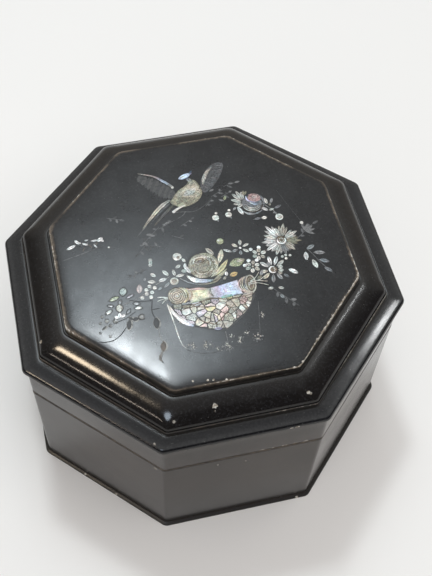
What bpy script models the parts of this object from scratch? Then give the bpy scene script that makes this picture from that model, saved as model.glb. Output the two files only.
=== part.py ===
"""Octagonal lacquered box with a flush lift-off lid.

The box is a regular octagon in plan.  A flat side faces each of +X, -X, +Y and -Y, the base
rests on z = 0 and the origin is under its centre.  Two pieces: the hollow body with its foot
and locating tongue, and the hollow lid with its skirt, flange, moulding and crowned panel.
Each piece is one closed shell, swept round the octagon from a profile of sections.
"""

import math

import bmesh
import bpy

SIDES = 8
SIDE_ANGLE = 2.0 * math.pi / SIDES
CORNER_STEPS = 4

# Body.  An apothem is the distance from the axis to a flat side.
FOOT_APOTHEM = 0.1000
FOOT_EDGE_HEIGHT = 0.0021
FOOT_CORNER_RADIUS = 0.0046
WALL_APOTHEM = 0.0980
WALL_CORNER_RADIUS = 0.0034
WALL_THICKNESS = 0.0040
COVE_HEIGHT = 0.0024
COVE_REACH = 0.0015
FLOOR_THICKNESS = 0.0040
BODY_HEIGHT = 0.0764

# Tongue that stands inside the lid's skirt and keeps the lid in place.
TONGUE_THICKNESS = 0.0014
TONGUE_HEIGHT = 0.0062
TONGUE_CHAMFER = 0.0005

# Lid.
SEAT_GAP = 0.0003
SKIRT_THICKNESS = 0.0022
FLANGE_APOTHEM = 0.1003
FLANGE_DEPTH_RATIO = 0.983
FLANGE_UNDERSIDE = 0.0976
FLANGE_EDGE_HEIGHT = 0.0008
FLANGE_CORNER_RADIUS = 0.0046
FLANGE_ROLL = 0.0026
FLANGE_SHOULDER = 0.1006
FLANGE_TOP = 0.1019
MOULDING_APOTHEM = 0.0908
MOULDING_BOTTOM = 0.1026
MOULDING_FILLET_TOP = 0.1043
MOULDING_TOP = 0.1119
MOULDING_INNER_APOTHEM = 0.0783
MOULDING_STEP = 0.0009
MOULDING_CORNER_RADIUS = 0.0032
OVOLO_START = 62.0
PANEL_APOTHEM = 0.0753
PANEL_EDGE_HEIGHT = 0.1160
PANEL_STEP_BOTTOM = 0.1126
PANEL_CORNER_RADIUS = 0.0056
PANEL_CROWN = 0.0022
LID_THICKNESS = 0.0036

EDGE_BEVEL = 0.0004


def blend(start, end, share):
    """Value a share of the way from start to end."""
    return start + (end - start) * share


def arc_sections(centre, reach, rise, first, last, steps, corner_radius):
    """Sections along an ellipse arc; angles run from 0 at the outside to 90 at the top."""
    sections = []
    for step in range(steps + 1):
        angle = math.radians(blend(first, last, step / steps))
        apothem = centre[0] + reach * math.cos(angle)
        height = centre[1] + rise * math.sin(angle)
        sections.append((apothem, height, corner_radius))
    return sections


def octagon_ring(section):
    """Points of one rounded octagon, anticlockwise, all at one height."""
    apothem, height, corner_radius = section[:3]
    depth_ratio = section[3] if len(section) > 3 else 1.0
    radius = min(corner_radius, apothem)
    centre_distance = (apothem - radius) / math.cos(SIDE_ANGLE / 2.0)
    points = []
    for side in range(SIDES):
        corner_angle = (side + 0.5) * SIDE_ANGLE
        for step in range(CORNER_STEPS + 1):
            angle = corner_angle + SIDE_ANGLE * (step / CORNER_STEPS - 0.5)
            x = centre_distance * math.cos(corner_angle) + radius * math.cos(angle)
            y = centre_distance * math.sin(corner_angle) + radius * math.sin(angle)
            points.append((x, y * depth_ratio, height))
    return points


def swept_shell(name, sections, start_height, end_height, material):
    """Closed solid from a profile that runs from the axis, round the section and back to it."""
    mesh = bpy.data.meshes.new(name)
    shell = bmesh.new()
    start = shell.verts.new((0.0, 0.0, start_height))
    rings = [[shell.verts.new(point) for point in octagon_ring(section)] for section in sections]
    end = shell.verts.new((0.0, 0.0, end_height))
    count = len(rings[0])
    for index in range(count):
        following = (index + 1) % count
        shell.faces.new((start, rings[0][index], rings[0][following]))
        for upper, lower in zip(rings, rings[1:]):
            shell.faces.new((upper[index], lower[index], lower[following], upper[following]))
        shell.faces.new((end, rings[-1][following], rings[-1][index]))
    bmesh.ops.recalc_face_normals(shell, faces=shell.faces)
    shell.to_mesh(mesh)
    shell.free()
    mesh.shade_smooth()
    mesh.set_sharp_from_angle(angle=math.radians(35.0))
    mesh.materials.append(material)
    piece = bpy.data.objects.new(name, mesh)
    bpy.context.scene.collection.objects.link(piece)
    return piece


def lacquer(name, colour, roughness):
    """Glossy lacquer material."""
    material = bpy.data.materials.new(name)
    material.use_nodes = True
    shader = material.node_tree.nodes["Principled BSDF"]
    shader.inputs["Base Color"].default_value = (*colour, 1.0)
    shader.inputs["Roughness"].default_value = roughness
    shader.inputs["Metallic"].default_value = 0.0
    return material


def body_sections():
    """Body profile: underside, foot, cove, wall, seat, tongue, inner wall and floor."""
    corner = WALL_CORNER_RADIUS
    inner = WALL_APOTHEM - WALL_THICKNESS
    tongue_outer = inner + TONGUE_THICKNESS
    tongue_top = BODY_HEIGHT + TONGUE_HEIGHT
    sections = [
        (FOOT_APOTHEM - EDGE_BEVEL, 0.0, FOOT_CORNER_RADIUS),
        (FOOT_APOTHEM, EDGE_BEVEL, FOOT_CORNER_RADIUS),
        (FOOT_APOTHEM, FOOT_EDGE_HEIGHT, FOOT_CORNER_RADIUS),
    ]
    cove_steps = 4
    for step in range(cove_steps + 1):
        share = step / cove_steps
        apothem = WALL_APOTHEM + COVE_REACH * (1.0 - share) ** 2.2
        height = FOOT_EDGE_HEIGHT + 0.0002 + COVE_HEIGHT * share ** 1.3
        sections.append((apothem, height, blend(FOOT_CORNER_RADIUS, corner, share)))
    sections += [
        (WALL_APOTHEM, BODY_HEIGHT - EDGE_BEVEL, corner),
        (WALL_APOTHEM - EDGE_BEVEL, BODY_HEIGHT, corner),
        (tongue_outer, BODY_HEIGHT, corner),
        (tongue_outer, tongue_top - TONGUE_CHAMFER, corner),
        (tongue_outer - TONGUE_CHAMFER, tongue_top, corner),
        (inner + TONGUE_CHAMFER, tongue_top, corner),
        (inner, tongue_top - TONGUE_CHAMFER, corner),
        (inner, FLOOR_THICKNESS, corner),
    ]
    return sections


def panel_height(share):
    """Crowned panel: slow rise over the middle and a quick roll down to the worn edge."""
    slow_rise = 0.6 * (1.0 - share ** 2)
    edge_roll = 0.4 * (1.0 - share ** 10)
    return PANEL_EDGE_HEIGHT + PANEL_CROWN * (slow_rise + edge_roll)


def lid_sections():
    """Lid profile: panel, step, ovolo moulding, flange and skirt, then back up the inside."""
    sections = []
    for share in (0.25, 0.5, 0.7, 0.84, 0.93, 0.975, 1.0):
        apothem = PANEL_APOTHEM * share
        corner = blend(apothem, PANEL_CORNER_RADIUS, share ** 3)
        sections.append((apothem, panel_height(share), corner))
    sections.append((PANEL_APOTHEM + 0.0002, PANEL_STEP_BOTTOM, PANEL_CORNER_RADIUS))
    start_angle = math.radians(OVOLO_START)
    ovolo_width = MOULDING_APOTHEM - MOULDING_STEP - MOULDING_INNER_APOTHEM
    ovolo_reach = ovolo_width / (1.0 - math.cos(start_angle))
    ovolo_rise = (MOULDING_TOP - MOULDING_FILLET_TOP) / math.sin(start_angle)
    ovolo_centre = (MOULDING_INNER_APOTHEM - ovolo_reach * math.cos(start_angle), MOULDING_FILLET_TOP)
    sections += arc_sections(ovolo_centre, ovolo_reach, ovolo_rise, OVOLO_START, 0.0, 8, MOULDING_CORNER_RADIUS)
    sections += [
        (MOULDING_APOTHEM, MOULDING_FILLET_TOP - 0.00025, MOULDING_CORNER_RADIUS),
        (MOULDING_APOTHEM, MOULDING_BOTTOM, MOULDING_CORNER_RADIUS),
    ]

    edge_height = FLANGE_UNDERSIDE + FLANGE_EDGE_HEIGHT
    edge_centre = (FLANGE_APOTHEM - FLANGE_ROLL, edge_height)
    edge_rise = FLANGE_SHOULDER - edge_height
    sections += [
        (MOULDING_APOTHEM + 0.0005, FLANGE_TOP, FLANGE_CORNER_RADIUS, 0.995),
        (MOULDING_APOTHEM + 0.0050, FLANGE_TOP - 0.0009, FLANGE_CORNER_RADIUS, 0.987),
    ]
    for section in arc_sections(edge_centre, FLANGE_ROLL, edge_rise, 75.0, 0.0, 5, FLANGE_CORNER_RADIUS):
        sections.append((*section, FLANGE_DEPTH_RATIO))
    sections += [
        (FLANGE_APOTHEM - EDGE_BEVEL, FLANGE_UNDERSIDE, FLANGE_CORNER_RADIUS, FLANGE_DEPTH_RATIO),
        (WALL_APOTHEM, FLANGE_UNDERSIDE, WALL_CORNER_RADIUS),
    ]

    skirt_bottom = BODY_HEIGHT + SEAT_GAP
    skirt_inner = WALL_APOTHEM - SKIRT_THICKNESS
    hollow_top = panel_height(0.0) - LID_THICKNESS
    moulding_inner = MOULDING_APOTHEM - LID_THICKNESS
    panel_inner = PANEL_APOTHEM - LID_THICKNESS
    sections += [
        (WALL_APOTHEM, skirt_bottom + EDGE_BEVEL, WALL_CORNER_RADIUS),
        (WALL_APOTHEM - EDGE_BEVEL, skirt_bottom, WALL_CORNER_RADIUS),
        (skirt_inner, skirt_bottom, WALL_CORNER_RADIUS),
        (skirt_inner, FLANGE_TOP - LID_THICKNESS, WALL_CORNER_RADIUS),
        (moulding_inner, FLANGE_TOP - LID_THICKNESS, MOULDING_CORNER_RADIUS),
        (moulding_inner, MOULDING_FILLET_TOP - 0.0010, MOULDING_CORNER_RADIUS),
        (MOULDING_INNER_APOTHEM, MOULDING_TOP - LID_THICKNESS, MOULDING_CORNER_RADIUS),
        (panel_inner, MOULDING_TOP - LID_THICKNESS, PANEL_CORNER_RADIUS),
        (panel_inner - 0.0015, PANEL_EDGE_HEIGHT - LID_THICKNESS, PANEL_CORNER_RADIUS),
        (PANEL_APOTHEM * 0.5, hollow_top - 0.0004, PANEL_APOTHEM * 0.5),
    ]
    return sections, hollow_top


def build():
    """Make the two pieces of the box."""
    for existing in list(bpy.data.objects):
        bpy.data.objects.remove(existing, do_unlink=True)
    body_finish = lacquer("body_lacquer", (0.020, 0.018, 0.016), 0.22)
    lid_finish = lacquer("lid_lacquer", (0.014, 0.014, 0.015), 0.16)
    swept_shell("box_body", body_sections(), 0.0, FLOOR_THICKNESS, body_finish)
    sections, hollow_top = lid_sections()
    swept_shell("box_lid", sections, panel_height(0.0), hollow_top, lid_finish)


build()
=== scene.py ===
import math
import random

import bmesh
import bpy
import numpy as np
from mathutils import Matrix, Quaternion, Vector


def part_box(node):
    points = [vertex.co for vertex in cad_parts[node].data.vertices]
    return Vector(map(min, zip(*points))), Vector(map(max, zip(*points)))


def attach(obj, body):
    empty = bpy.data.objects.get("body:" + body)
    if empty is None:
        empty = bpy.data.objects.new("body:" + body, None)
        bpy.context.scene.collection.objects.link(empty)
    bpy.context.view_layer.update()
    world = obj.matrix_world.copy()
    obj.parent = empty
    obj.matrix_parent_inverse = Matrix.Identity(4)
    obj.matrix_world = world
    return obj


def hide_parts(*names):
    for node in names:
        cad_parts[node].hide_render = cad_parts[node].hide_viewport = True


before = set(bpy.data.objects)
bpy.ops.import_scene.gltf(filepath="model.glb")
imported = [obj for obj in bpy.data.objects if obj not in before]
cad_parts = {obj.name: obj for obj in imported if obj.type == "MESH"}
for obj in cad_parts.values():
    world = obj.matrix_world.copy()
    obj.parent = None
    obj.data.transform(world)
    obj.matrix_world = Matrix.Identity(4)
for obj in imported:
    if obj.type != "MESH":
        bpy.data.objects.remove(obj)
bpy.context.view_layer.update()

MM = 0.001

# ---- sizes of the box, in millimetres

SIDES = 8
SIDE_DEGREES = 360.0 / SIDES
LID_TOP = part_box("box_lid")[1][2] / MM
LID_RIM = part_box("box_lid")[0][2] / MM
BODY_TONGUE_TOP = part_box("box_body")[1][2] / MM

WALL = 98.0
WALL_CORNER = 3.4
WALL_SQUEEZE = (0.9932, -0.665)    # narrowed front to back, and moved forward
BODY_WALL_THICKNESS = 4.0
FLOOR_THICKNESS = 4.0
FOOT = 99.95
FOOT_EDGE = 1.1
FOOT_CORNER = 4.6
BODY_TOP = 75.9
TONGUE = 1.4
SKIRT = 2.2
FLANGE = 100.25
FLANGE_SQUEEZE = (0.973, -0.95)
FLANGE_WALL_SQUEEZE = (0.9907, -0.83)
FLANGE_UNDERSIDE = 97.6
FLANGE_TOP = 101.9
FLANGE_CORNER = 4.6
MOULDING = 90.8
MOULDING_INNER = 78.3
MOULDING_BOTTOM = 102.6
MOULDING_FILLET = 103.5
MOULDING_TOP = 111.9
MOULDING_STEP = 0.3
MOULDING_CORNER = 3.2
PANEL = 75.7
PANEL_EDGE = 116.0
PANEL_STEP = 112.0
PANEL_CORNER = 5.6
PANEL_CROWN = LID_TOP - PANEL_EDGE - 0.5
LID_THICKNESS = 3.6


# ---- node helpers

class NodeSheet:
    """Adds nodes to a tree, sets their inputs and joins them."""

    def __init__(self, tree):
        self.tree = tree

    def node(self, kind, settings=None, inputs=None):
        """One node, with its settings, and its inputs given as values or as other nodes' outputs."""
        added = self.tree.nodes.new(kind)
        for name, value in (settings or {}).items():
            setattr(added, name, value)
        for key, value in (inputs or {}).items():
            self.feed(added.inputs[key], value)
        return added

    def made(self, kind, inputs=None, settings=None):
        """The first output of a geometry node, which is named without its prefix."""
        return self.node("GeometryNode" + kind, settings, inputs).outputs[0]

    def geometry_of(self, thing):
        """The mesh of another object, in a geometry tree."""
        return self.node("GeometryNodeObjectInfo", None, {"Object": thing}).outputs["Geometry"]

    def feed(self, socket, value):
        """Sets a socket, or links it when the value comes from another node."""
        if isinstance(value, bpy.types.NodeSocket):
            self.tree.links.new(value, socket)
        else:
            socket.default_value = value

    def maths(self, operation, *terms, clamp=False):
        """The result of a sum, kept between 0 and 1 where clamp asks for it."""
        added = self.node("ShaderNodeMath", {"operation": operation, "use_clamp": clamp})
        for socket, value in zip(added.inputs, terms):
            self.feed(socket, value)
        return added.outputs[0]

    def times(self, *terms, clamp=False):
        return self.maths("MULTIPLY", *terms, clamp=clamp)

    def plus(self, *terms, clamp=False):
        return self.maths("ADD", *terms, clamp=clamp)

    def minus(self, *terms, clamp=False):
        return self.maths("SUBTRACT", *terms, clamp=clamp)

    def vector_maths(self, operation, *terms):
        """The result of a sum with vectors."""
        added = self.node("ShaderNodeVectorMath", {"operation": operation})
        for socket, value in zip(added.inputs, terms):
            self.feed(socket, value)
        return added.outputs[0]

    def scaled(self, vector, factor):
        """A vector made longer or shorter."""
        inputs = {0: vector, "Scale": factor}
        return self.node("ShaderNodeVectorMath", {"operation": "SCALE"}, inputs).outputs[0]

    def combined(self, x, y, z):
        return self.node("ShaderNodeCombineXYZ", None, {0: x, 1: y, 2: z}).outputs[0]

    def split(self, vector):
        """The x, y and z of a vector."""
        return self.node("ShaderNodeSeparateXYZ", None, {0: vector}).outputs

    def direction(self, angle):
        """A level unit vector that points along an angle."""
        return self.combined(self.maths("COSINE", angle), self.maths("SINE", angle), 0.0)

    def noise(self, place, scale, detail=2.0, roughness=0.5):
        inputs = {"Vector": place, "Scale": scale, "Detail": detail, "Roughness": roughness}
        return self.node("ShaderNodeTexNoise", {"noise_dimensions": "3D"}, inputs).outputs[0]

    def ramp(self, value, low, high, bottom=0.0, top=1.0):
        """Bottom below the low value, top above the high one, and a smooth change between."""
        inputs = {0: value, 1: low, 2: high, 3: bottom, 4: top}
        return self.node("ShaderNodeMapRange", {"interpolation_type": "SMOOTHSTEP"}, inputs).outputs[0]

    def blended(self, share, first, second):
        """The first colour, with a share of the second over it."""
        return self.node("ShaderNodeMix", {"data_type": "RGBA"}, {0: share, 6: first, 7: second}).outputs[2]

    def position(self):
        return self.made("InputPosition")

    def carried(self, name, kind="FLOAT"):
        """A value that the points of a mesh carry, in a geometry tree."""
        return self.made("InputNamedAttribute", {"Name": name}, {"data_type": kind})

    def stored(self, geometry, name, value, kind="FLOAT"):
        """The geometry with one more value on each of its points."""
        inputs = {"Geometry": geometry, "Name": name, "Value": value}
        return self.made("StoreNamedAttribute", inputs, {"data_type": kind, "domain": "POINT"})

    def painted(self, name):
        """A value that the points of a mesh carry, in a material."""
        return self.node("ShaderNodeAttribute", {"attribute_name": name}).outputs

    def group(self, tree, inputs):
        """The outputs of a shader node group."""
        return self.node("ShaderNodeGroup", {"node_tree": tree}, inputs).outputs

    def relief(self, height):
        """A normal bent by a height in metres."""
        return self.node("ShaderNodeBump", None, {"Height": height, "Distance": 1.0}).outputs[0]


FLOAT, VECTOR, GEOMETRY = "NodeSocketFloat", "NodeSocketVector", "NodeSocketGeometry"
OBJECT, MATERIAL = "NodeSocketObject", "NodeSocketMaterial"


def add_sockets(tree, inputs, outputs):
    """Gives a node tree its named inputs, with their defaults, and its named outputs."""
    for name, kind, default in inputs:
        socket = tree.interface.new_socket(name=name, in_out="INPUT", socket_type=kind)
        if default is not None:
            socket.default_value = default
    for name, kind in outputs:
        tree.interface.new_socket(name=name, in_out="OUTPUT", socket_type=kind)


def grown(source, tree, name, values=None):
    """Runs a geometry tree on a source object and keeps the result as a plain mesh object."""
    modifier = source.modifiers.new(tree.name, "NODES")
    modifier.node_group = tree
    identifiers = {
        item.name: item.identifier for item in tree.interface.items_tree if item.in_out == "INPUT"
    }
    for key, value in (values or {}).items():
        modifier[identifiers[key]] = value
    bpy.context.view_layer.update()
    evaluated = source.evaluated_get(bpy.context.evaluated_depsgraph_get())
    mesh = bpy.data.meshes.new_from_object(evaluated)
    mesh.name = name
    source.modifiers.remove(modifier)
    bpy.data.objects.remove(source)
    piece = bpy.data.objects.new(name, mesh)
    bpy.context.scene.collection.objects.link(piece)
    return piece


# ---- octagon sweep

UNEVEN_SCALE = 38.0          # noise over the walls, per metre
NICK_SCALE = 220.0           # nicks along worn edges, per metre
NICK_LEVELS = (0.42, 0.72)   # where the noise begins to nick an edge, and where fully
CALM_FOOT = 0.01             # unevenness and nicks come in over this height, in metres
SINK_LEAN = 0.03             # dents go in and a little down
MERGE_REACH = 0.000004       # joins the last column of the sweep to the first
FILLET_SHARE = 0.48          # the most that a small round may take of the run beside it


def octagon_sweep_tree():
    """Sweeps a profile of sections round a rounded octagon and closes it into one shell."""
    tree = bpy.data.node_groups.new("octagon sweep", "GeometryNodeTree")
    add_sockets(tree, [
        ("Profile", GEOMETRY, None), ("Corner Steps", "NodeSocketInt", 8),
        ("Side Steps", "NodeSocketInt", 12), ("Unevenness", FLOAT, 0.0001), ("Nick Depth", FLOAT, 0.00022),
        ("Finish", MATERIAL, None),
    ], [("Shell", GEOMETRY)])
    sheet = NodeSheet(tree)
    given = sheet.node("NodeGroupInput").outputs
    profile = given["Profile"]
    side_turn = math.radians(SIDE_DEGREES)

    rows = sheet.made("AttributeDomainSize", {"Geometry": profile})
    per_side = sheet.plus(given["Corner Steps"], given["Side Steps"])
    columns = sheet.plus(sheet.times(per_side, float(SIDES)), 1.0)
    grid = sheet.made("MeshGrid", {"Vertices X": columns, "Vertices Y": rows})
    index = sheet.made("InputIndex")
    row = sheet.maths("MODULO", index, rows)
    column = sheet.maths("FLOOR", sheet.maths("DIVIDE", index, rows))
    side = sheet.maths("FLOOR", sheet.maths("DIVIDE", column, per_side))
    step = sheet.minus(column, sheet.times(side, per_side))
    turned = sheet.maths("DIVIDE", step, given["Corner Steps"], clamp=True)
    past_corner = sheet.minus(step, given["Corner Steps"])
    along_side = sheet.maths("DIVIDE", past_corner, given["Side Steps"], clamp=True)

    def sampled(value, kind):
        """The profile's value in this row."""
        inputs = {"Geometry": profile, "Value": value, "Index": row}
        return sheet.made("SampleIndex", inputs, {"data_type": kind})

    apothem, _, height = sheet.split(sampled(sheet.position(), "FLOAT_VECTOR"))
    radius = sheet.maths("MINIMUM", sampled(sheet.carried("corner"), "FLOAT"), apothem)
    depth = sampled(sheet.carried("depth"), "FLOAT")
    shift = sampled(sheet.carried("shift"), "FLOAT")

    corner_angle = sheet.times(sheet.plus(side, 0.5), side_turn)
    facing = sheet.times(sheet.minus(turned, 0.5), side_turn)
    facing = sheet.plus(corner_angle, facing)
    here = sheet.direction(corner_angle)
    ahead = sheet.direction(sheet.plus(corner_angle, side_turn))
    mix = sheet.node("ShaderNodeMix", {"data_type": "VECTOR"}, {0: along_side, 4: here, 5: ahead})
    centre_reach = sheet.maths("DIVIDE", sheet.minus(apothem, radius), math.cos(side_turn / 2.0))
    plan = sheet.vector_maths(
        "ADD", sheet.scaled(mix.outputs[1], centre_reach), sheet.scaled(sheet.direction(facing), radius)
    )
    plan = sheet.vector_maths("MULTIPLY", plan, sheet.combined(1.0, depth, 1.0))
    swept = sheet.vector_maths("ADD", plan, sheet.combined(0.0, shift, height))

    low = sheet.times(height, 1.0 / CALM_FOOT, clamp=True)
    worn = sampled(sheet.carried("worn"), "FLOAT")
    nicks = sheet.noise(swept, NICK_SCALE, 3.0)
    inputs = {0: nicks, 1: NICK_LEVELS[0], 2: NICK_LEVELS[1]}
    nicks = sheet.node("ShaderNodeMapRange", None, inputs).outputs[0]
    nicks = sheet.times(sheet.times(nicks, worn), given["Nick Depth"])
    sink = sheet.times(sheet.times(sheet.noise(swept, UNEVEN_SCALE), low), given["Unevenness"])
    sink = sheet.plus(sink, sheet.times(nicks, low))
    inward = sheet.vector_maths("ADD", plan, sheet.combined(0.0, 0.0, SINK_LEAN))
    inward = sheet.vector_maths("NORMALIZE", inward)
    swept = sheet.vector_maths("SUBTRACT", swept, sheet.scaled(inward, sink))

    shell = sheet.made("SetPosition", {"Geometry": grid, "Position": swept})
    shell = sheet.stored(shell, "worn", worn)
    for name in ("grime", "dust"):
        shell = sheet.stored(shell, name, sampled(sheet.carried(name), "FLOAT"))
    shell = sheet.made("MergeByDistance", {"Geometry": shell, "Distance": MERGE_REACH})
    shell = sheet.made("SetShadeSmooth", {"Geometry": shell, "Shade Smooth": True})
    shell = sheet.made("SetMaterial", {"Geometry": shell, "Material": given["Finish"]})
    shell = sheet.made("RealizeInstances", {"Geometry": shell})
    out = sheet.node("NodeGroupOutput")
    sheet.feed(out.inputs["Shell"], shell)
    return tree


def section(apothem, height, corner, fillet=0.0, squeeze=(1.0, 0.0), worn=0.0, grime=0.0, dust=0.0):
    """One corner of a profile: where it is, how it is rounded, how worn it is, its dirt, which at the foot is
    painted shade, and its dusting, which is partly painted light.
    """
    return {
        "place": np.array([apothem, height], float),
        "corner": corner,
        "fillet": fillet,
        "depth": squeeze[0],
        "shift": squeeze[1],
        "worn": worn,
        "grime": grime,
        "dust": dust,
    }


def on_wall(apothem, height, fillet=0.0, **marks):
    """A section with the wall's corner, narrowed and moved forward as the wall is."""
    return section(apothem, height, WALL_CORNER, fillet, WALL_SQUEEZE, **marks)


def mixed(first, second, share):
    """A section part of the way between two others."""
    made = {key: first[key] + (second[key] - first[key]) * share for key in first}
    made["fillet"] = 0.0
    return made


def rounded_profile(sections, longest=9.0, fillet_steps=5):
    """Replaces each profile corner by a small round and splits long runs, for even shading."""
    rounded = []
    for index, here in enumerate(sections):
        fillet = here["fillet"]
        if fillet <= 0.0 or index in (0, len(sections) - 1):
            rounded.append(here)
            continue
        before, after = sections[index - 1], sections[index + 1]
        back = before["place"] - here["place"]
        onward = after["place"] - here["place"]
        reach_back = min(fillet, FILLET_SHARE * np.linalg.norm(back))
        reach_on = min(fillet, FILLET_SHARE * np.linalg.norm(onward))
        start = here["place"] + back / np.linalg.norm(back) * reach_back
        end = here["place"] + onward / np.linalg.norm(onward) * reach_on
        for step in range(fillet_steps + 1):
            share = step / fillet_steps
            made = dict(here)
            place = (1 - share) ** 2 * start + 2 * share * (1 - share) * here["place"] + share ** 2 * end
            made["place"] = place
            made["worn"] = here["worn"] * math.sin(math.pi * (0.15 + 0.7 * share))
            rounded.append(made)
    filled = [rounded[0]]
    for here in rounded[1:]:
        last = filled[-1]
        length = np.linalg.norm(here["place"] - last["place"])
        pieces = max(1, math.ceil(length / longest))
        for piece in range(1, pieces):
            filled.append(mixed(last, here, piece / pieces))
        filled.append(here)
    return filled


def profile_object(name, sections):
    """The profile as a line of points that carry the section's values as attributes."""
    mesh = bpy.data.meshes.new(name)
    points = [(s["place"][0] * MM, 0.0, s["place"][1] * MM) for s in sections]
    mesh.from_pydata(points, [(i, i + 1) for i in range(len(points) - 1)], [])
    scales = {"corner": MM, "depth": 1.0, "shift": MM, "worn": 1.0, "grime": 1.0, "dust": 1.0}
    for key, scale in scales.items():
        values = mesh.attributes.new(key, "FLOAT", "POINT")
        values.data.foreach_set("value", [s[key] * scale for s in sections])
    line = bpy.data.objects.new(name, mesh)
    bpy.context.scene.collection.objects.link(line)
    return line


def body_profile():
    """Body: underside, foot, cove, wall, seat, tongue, inner wall and floor."""
    inner = WALL - BODY_WALL_THICKNESS
    tongue = inner + TONGUE
    sections = [
        section(0.0, 0.0, 0.0),
        section(FOOT - 6.0, 0.0, FOOT_CORNER),
        # Dark at the foot and up its cove: dirt, and painted shade where the box meets the floor.
        section(FOOT, 0.0, FOOT_CORNER, 0.4, worn=0.4, grime=1.0),
        section(FOOT, FOOT_EDGE, FOOT_CORNER, 0.4, worn=0.2, grime=1.0),
    ]
    cove_steps = 5
    for step in range(cove_steps + 1):
        share = step / cove_steps
        apothem = WALL + (FOOT - 0.5 - WALL) * (1.0 - share) ** 2.2
        height = FOOT_EDGE + 0.1 + 0.9 * share ** 1.3
        corner = FOOT_CORNER + (WALL_CORNER - FOOT_CORNER) * share
        squeeze = (1.0 + (WALL_SQUEEZE[0] - 1.0) * share, WALL_SQUEEZE[1] * share)
        sections.append(section(apothem, height, corner, 0.0, squeeze, grime=1.0 - 0.6 * share))
    sections += [
        # Lighter low on the wall, fading out by 45 mm: dusting, and painted light lifting the wall near the
        # floor.
        on_wall(WALL, FOOT_EDGE + 4.0, dust=1.0),
        on_wall(WALL, 45.0),
        on_wall(WALL, BODY_TOP - 2.0),
        on_wall(WALL, BODY_TOP, 0.5, worn=0.6),
        on_wall(tongue, BODY_TOP, 0.2),
        on_wall(tongue, BODY_TONGUE_TOP, 0.4),
        on_wall(inner, BODY_TONGUE_TOP, 0.4),
        on_wall(inner, FLOOR_THICKNESS, 2.0, grime=0.4),
        section(0.0, FLOOR_THICKNESS, 0.0),
    ]
    return rounded_profile(sections)


def panel_height(share):
    """Crowned panel: slow rise over the middle and a quick roll down to the worn edge."""
    fall = 0.55 * share ** 2 + 0.27 * share ** 8 + 0.18 * share ** 34
    return PANEL_EDGE + PANEL_CROWN * (1.0 - fall)


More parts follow.
